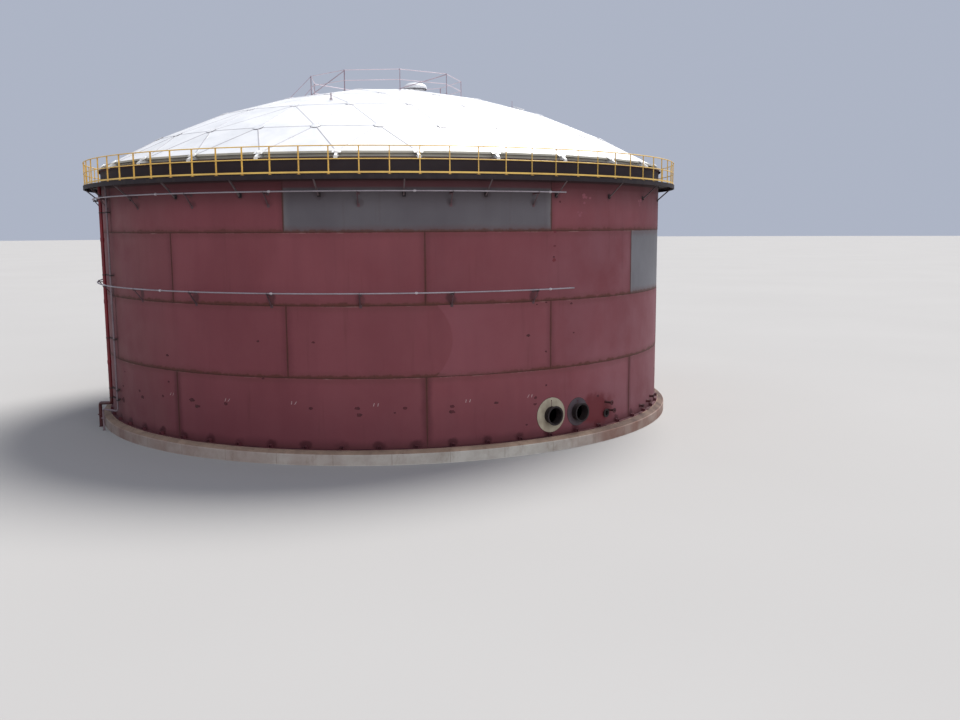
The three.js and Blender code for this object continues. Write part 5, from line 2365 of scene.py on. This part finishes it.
@dataclass
class Necks:
    """Manways and nozzles: necks with drilled flanges, and pads round the manways."""

    shop: Workshop
    pad_thickness: float = 0.014
    pad_steps: int = 96
    flange_thickness: float = 0.032
    weld_points: int = 48
    chair_top: float = 0.158
    wide: float = 0.2

    def build(self) -> None:
        """Builds and dresses every neck and pad."""
        f = self.shop.finishes
        for b in MANWAYS:
            self.neck(b, f.neck, Slot.DARK)
        for b in NOZZLES:
            self.neck(b, f.neck if b.bore > 0.1 else f.nozzle, Slot.RED)
        self.pad(MANWAYS[0], f.cream, Slot.CREAM)
        self.pad(MANWAYS[1], f.gray, Slot.GRAY)

    def neck(self, b: Branch, finish: bpy.types.Material, slot: Slot) -> None:
        """Builds one neck with its flange, weld and bolt holes.

        Args:
            b: its place and sizes.
            finish: material.
            slot: not used.
        """
        outer, back = b.bore + b.wall, b.reach - self.flange_thickness
        wide = b.bore > self.wide
        form, cutter = Form(), Form()
        form.turn([(b.bore, -0.07), (outer, -0.07), (outer, 0.012), (outer, back - 0.008),
            (outer + 0.008, back), (b.flange - 0.003, back), (b.flange, back + 0.003),
            (b.flange, b.reach - 0.003), (b.flange - 0.003, b.reach), (b.bore + 0.012, b.reach),
            (b.bore, b.reach - 0.004)], b.centre(), b.axis(), 64 if wide else 36)
        piece = form.make(b.name + "_flanged_neck")
        side = sideways(b.azimuth)
        for x, y in circle((outer + b.flange) / 2 + 0.004, b.bolts, math.pi / b.bolts):
            cutter.rod(b.centre() + side * x + UP * y, b.axis(), 0.013 if wide else 0.009, b.reach - 0.06,
                b.reach + 0.02, 10)
        cut(piece, cutter.make("bolt_hole_cutter"))
        place(piece, finish, [b.name + "_neck"])
        proud = (self.pad_thickness + 0.002) if b.pad else 0.002
        weld = [b.near(x, y, proud) for x, y in circle(outer + 0.003, self.weld_points)]
        self.shop.weld(b.name + "_weld", [weld], True, 0.04)

    def pad(self, b: Branch, finish: bpy.types.Material, slot: Slot) -> None:
        """Builds a reinforcing pad that follows the shell, cut off above the chairs.

        Args:
            b: the manway that it surrounds.
            finish: material.
            slot: not used.
        """
        inner, t = b.bore + b.wall + 0.002, self.pad_thickness
        section = ((inner, 0.0005), (b.pad, 0.0005), (b.pad, t - 0.004), (b.pad - 0.005, t), (inner, t))
        lowest = self.chair_top - b.height
        rows = [[b.near(rho * x, max(rho * y, lowest), proud) for rho, proud in section] for x,
            y in circle(1.0, self.pad_steps)]
        form = Form()
        form.loft(rows, looped=True)
        place(form.make(b.name + "_ring_pad"), finish, [b.name + "_pad"])
        edge = [row[2] - b.axis() * 0.006 for row in rows]
        self.shop.weld(b.name + "_pad_weld", [edge], True, 0.06, slot=slot)
        tell_tale = Form()
        at = b.centre() + UP * (b.pad - 0.14) + b.axis() * (t - 0.002)
        half = (b.pad - b.bore - 0.17) / 2
        tell_tale.rod(at, b.axis(), 0.03, 0, 0.004, 12)
        tell_tale.block(at - UP * half, sideways(b.azimuth) * 0.012, b.axis() * 0.003, UP * half)
        place(tell_tale.make(b.name + "_tell_tale"), self.shop.finishes.scar)


@dataclass
class Studio:
    """Pale floor, soft lights, world and the camera."""

    eye: Vector = field(default_factory=lambda: Vector((0.0, -55.21, 9.924)))
    sensor: float = 36.0
    lens: float = 36.12
    yaw: float = 0.0939
    pitch: float = 0.1373
    roll: float = -0.0053
    floor_radius: float = 900.0
    sky: tuple[float, ...] = (0.42, 0.46, 0.56, 1.0)

    def build(self) -> None:
        """Builds the studio: a soft high sun from behind and right, and a broad fill from the front."""
        self.camera()
        self.floor()
        scene = bpy.context.scene
        scene.view_settings.view_transform = "Standard"
        self.softbox("high_softbox", 5.2, 28, (0.42, 0.5, 1.0), (1.0, 0.985, 0.96))
        self.softbox("front_softbox", 1.3, 60, (0.35, -1.0, 0.45))
        world = bpy.data.worlds.new("studio")
        world.use_nodes = True
        background = world.node_tree.nodes["Background"]
        background.inputs[0].default_value = self.sky
        background.inputs[1].default_value = 1.0
        scene.world = world

    def camera(self) -> None:
        """Sets the camera at the photograph's viewpoint."""
        data = bpy.data.cameras.new("view")
        data.sensor_width, data.lens = self.sensor, self.lens
        data.clip_start, data.clip_end = 0.1, 2000.0
        ahead = Vector((math.sin(self.yaw) * math.cos(self.pitch), math.cos(self.yaw) * math.cos(self.pitch),
            -math.sin(self.pitch)))
        right = Vector((math.cos(self.yaw), -math.sin(self.yaw), 0.0))
        up = right.cross(ahead)
        cr, sr = math.cos(self.roll), math.sin(self.roll)
        across, above = right * cr + up * sr, up * cr - right * sr
        turn = Matrix((across, above, -ahead)).transposed().to_4x4()
        camera = link("view", data)
        camera.matrix_world = Matrix.Translation(self.eye) @ turn
        bpy.context.scene.camera = camera

    def floor(self) -> None:
        """Lays a wide pale floor just under the plinth."""
        form = Form()
        form.rod(CENTRE, UP, self.floor_radius, -0.2, -0.002, 96)
        floor = form.make("studio_floor")
        p = Paint("studio_floor", (158, 156, 154))
        p.coat(p.noise(0.05, 2.0), (164, 162, 160))
        floor.data.materials.append(p.finish(0.95, 0.0, None, 0.0, 0.1))

    def softbox(self, name: str, energy: float, spread: float, place_of: Triple,
            color: Triple = (1.0, 1.0, 1.0)) -> None:
        """Adds one soft sun.

        Args:
            name: of the light.
            energy: its strength.
            spread: its width in degrees.
            place_of: direction that it shines from.
            color: of the light.
        """
        sun = bpy.data.lights.new(name, "SUN")
        sun.energy, sun.angle, sun.color = energy, math.radians(spread), color
        link(name, sun).rotation_euler = Vector(place_of).to_track_quat("Z", "Y").to_euler()


def write_sizes() -> None:
    """Updates the view layer."""
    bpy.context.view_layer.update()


def main() -> None:
    """Builds every sub-assembly in order and reports each."""
    logging.basicConfig(level=logging.INFO, format="%(name)s: %(message)s")
    Studio().build()
    shop = Workshop(Finishes(), RoundTheTank(), BeadAlong(), StudsAlong())
    dome = Dome(shop)
    pieces = [
        Plinth(shop), Shell(shop), WeldSeams(shop), ShellMarks(shop), AnchorChairs(shop), CurbAngle(shop),
        Walkway(shop), Handrail(shop), dome, RoofVent(shop, dome), GuardRail(shop, dome),
        RoofFittings(shop, dome), CoolingPipe(shop, "lower_spray_pipe", 7.23, 31.8,
        (-40.5, -18.4, 4.2, 27.0)), CoolingPipe(shop, "upper_spray_pipe", 11.4, 29.9,
        (-40.4, -18.2, 4.15, 26.9)), Riser(shop, "red_riser", Slot.RED_PIPE, -65.0, 15.27, 0.084, 1.35, -69.0,
        15.69, 1.2, rack=True), Riser(shop, "gray_riser", Slot.GALVANISED, -61.0, 15.21, 0.045, 1.085, -65.0,
        15.7, 1.07), Necks(shop),
    ]
    for piece in pieces:
        piece.build()
        log.info("%s is built", type(piece).__name__)
    write_sizes()


if __name__ == "__main__":
    main()
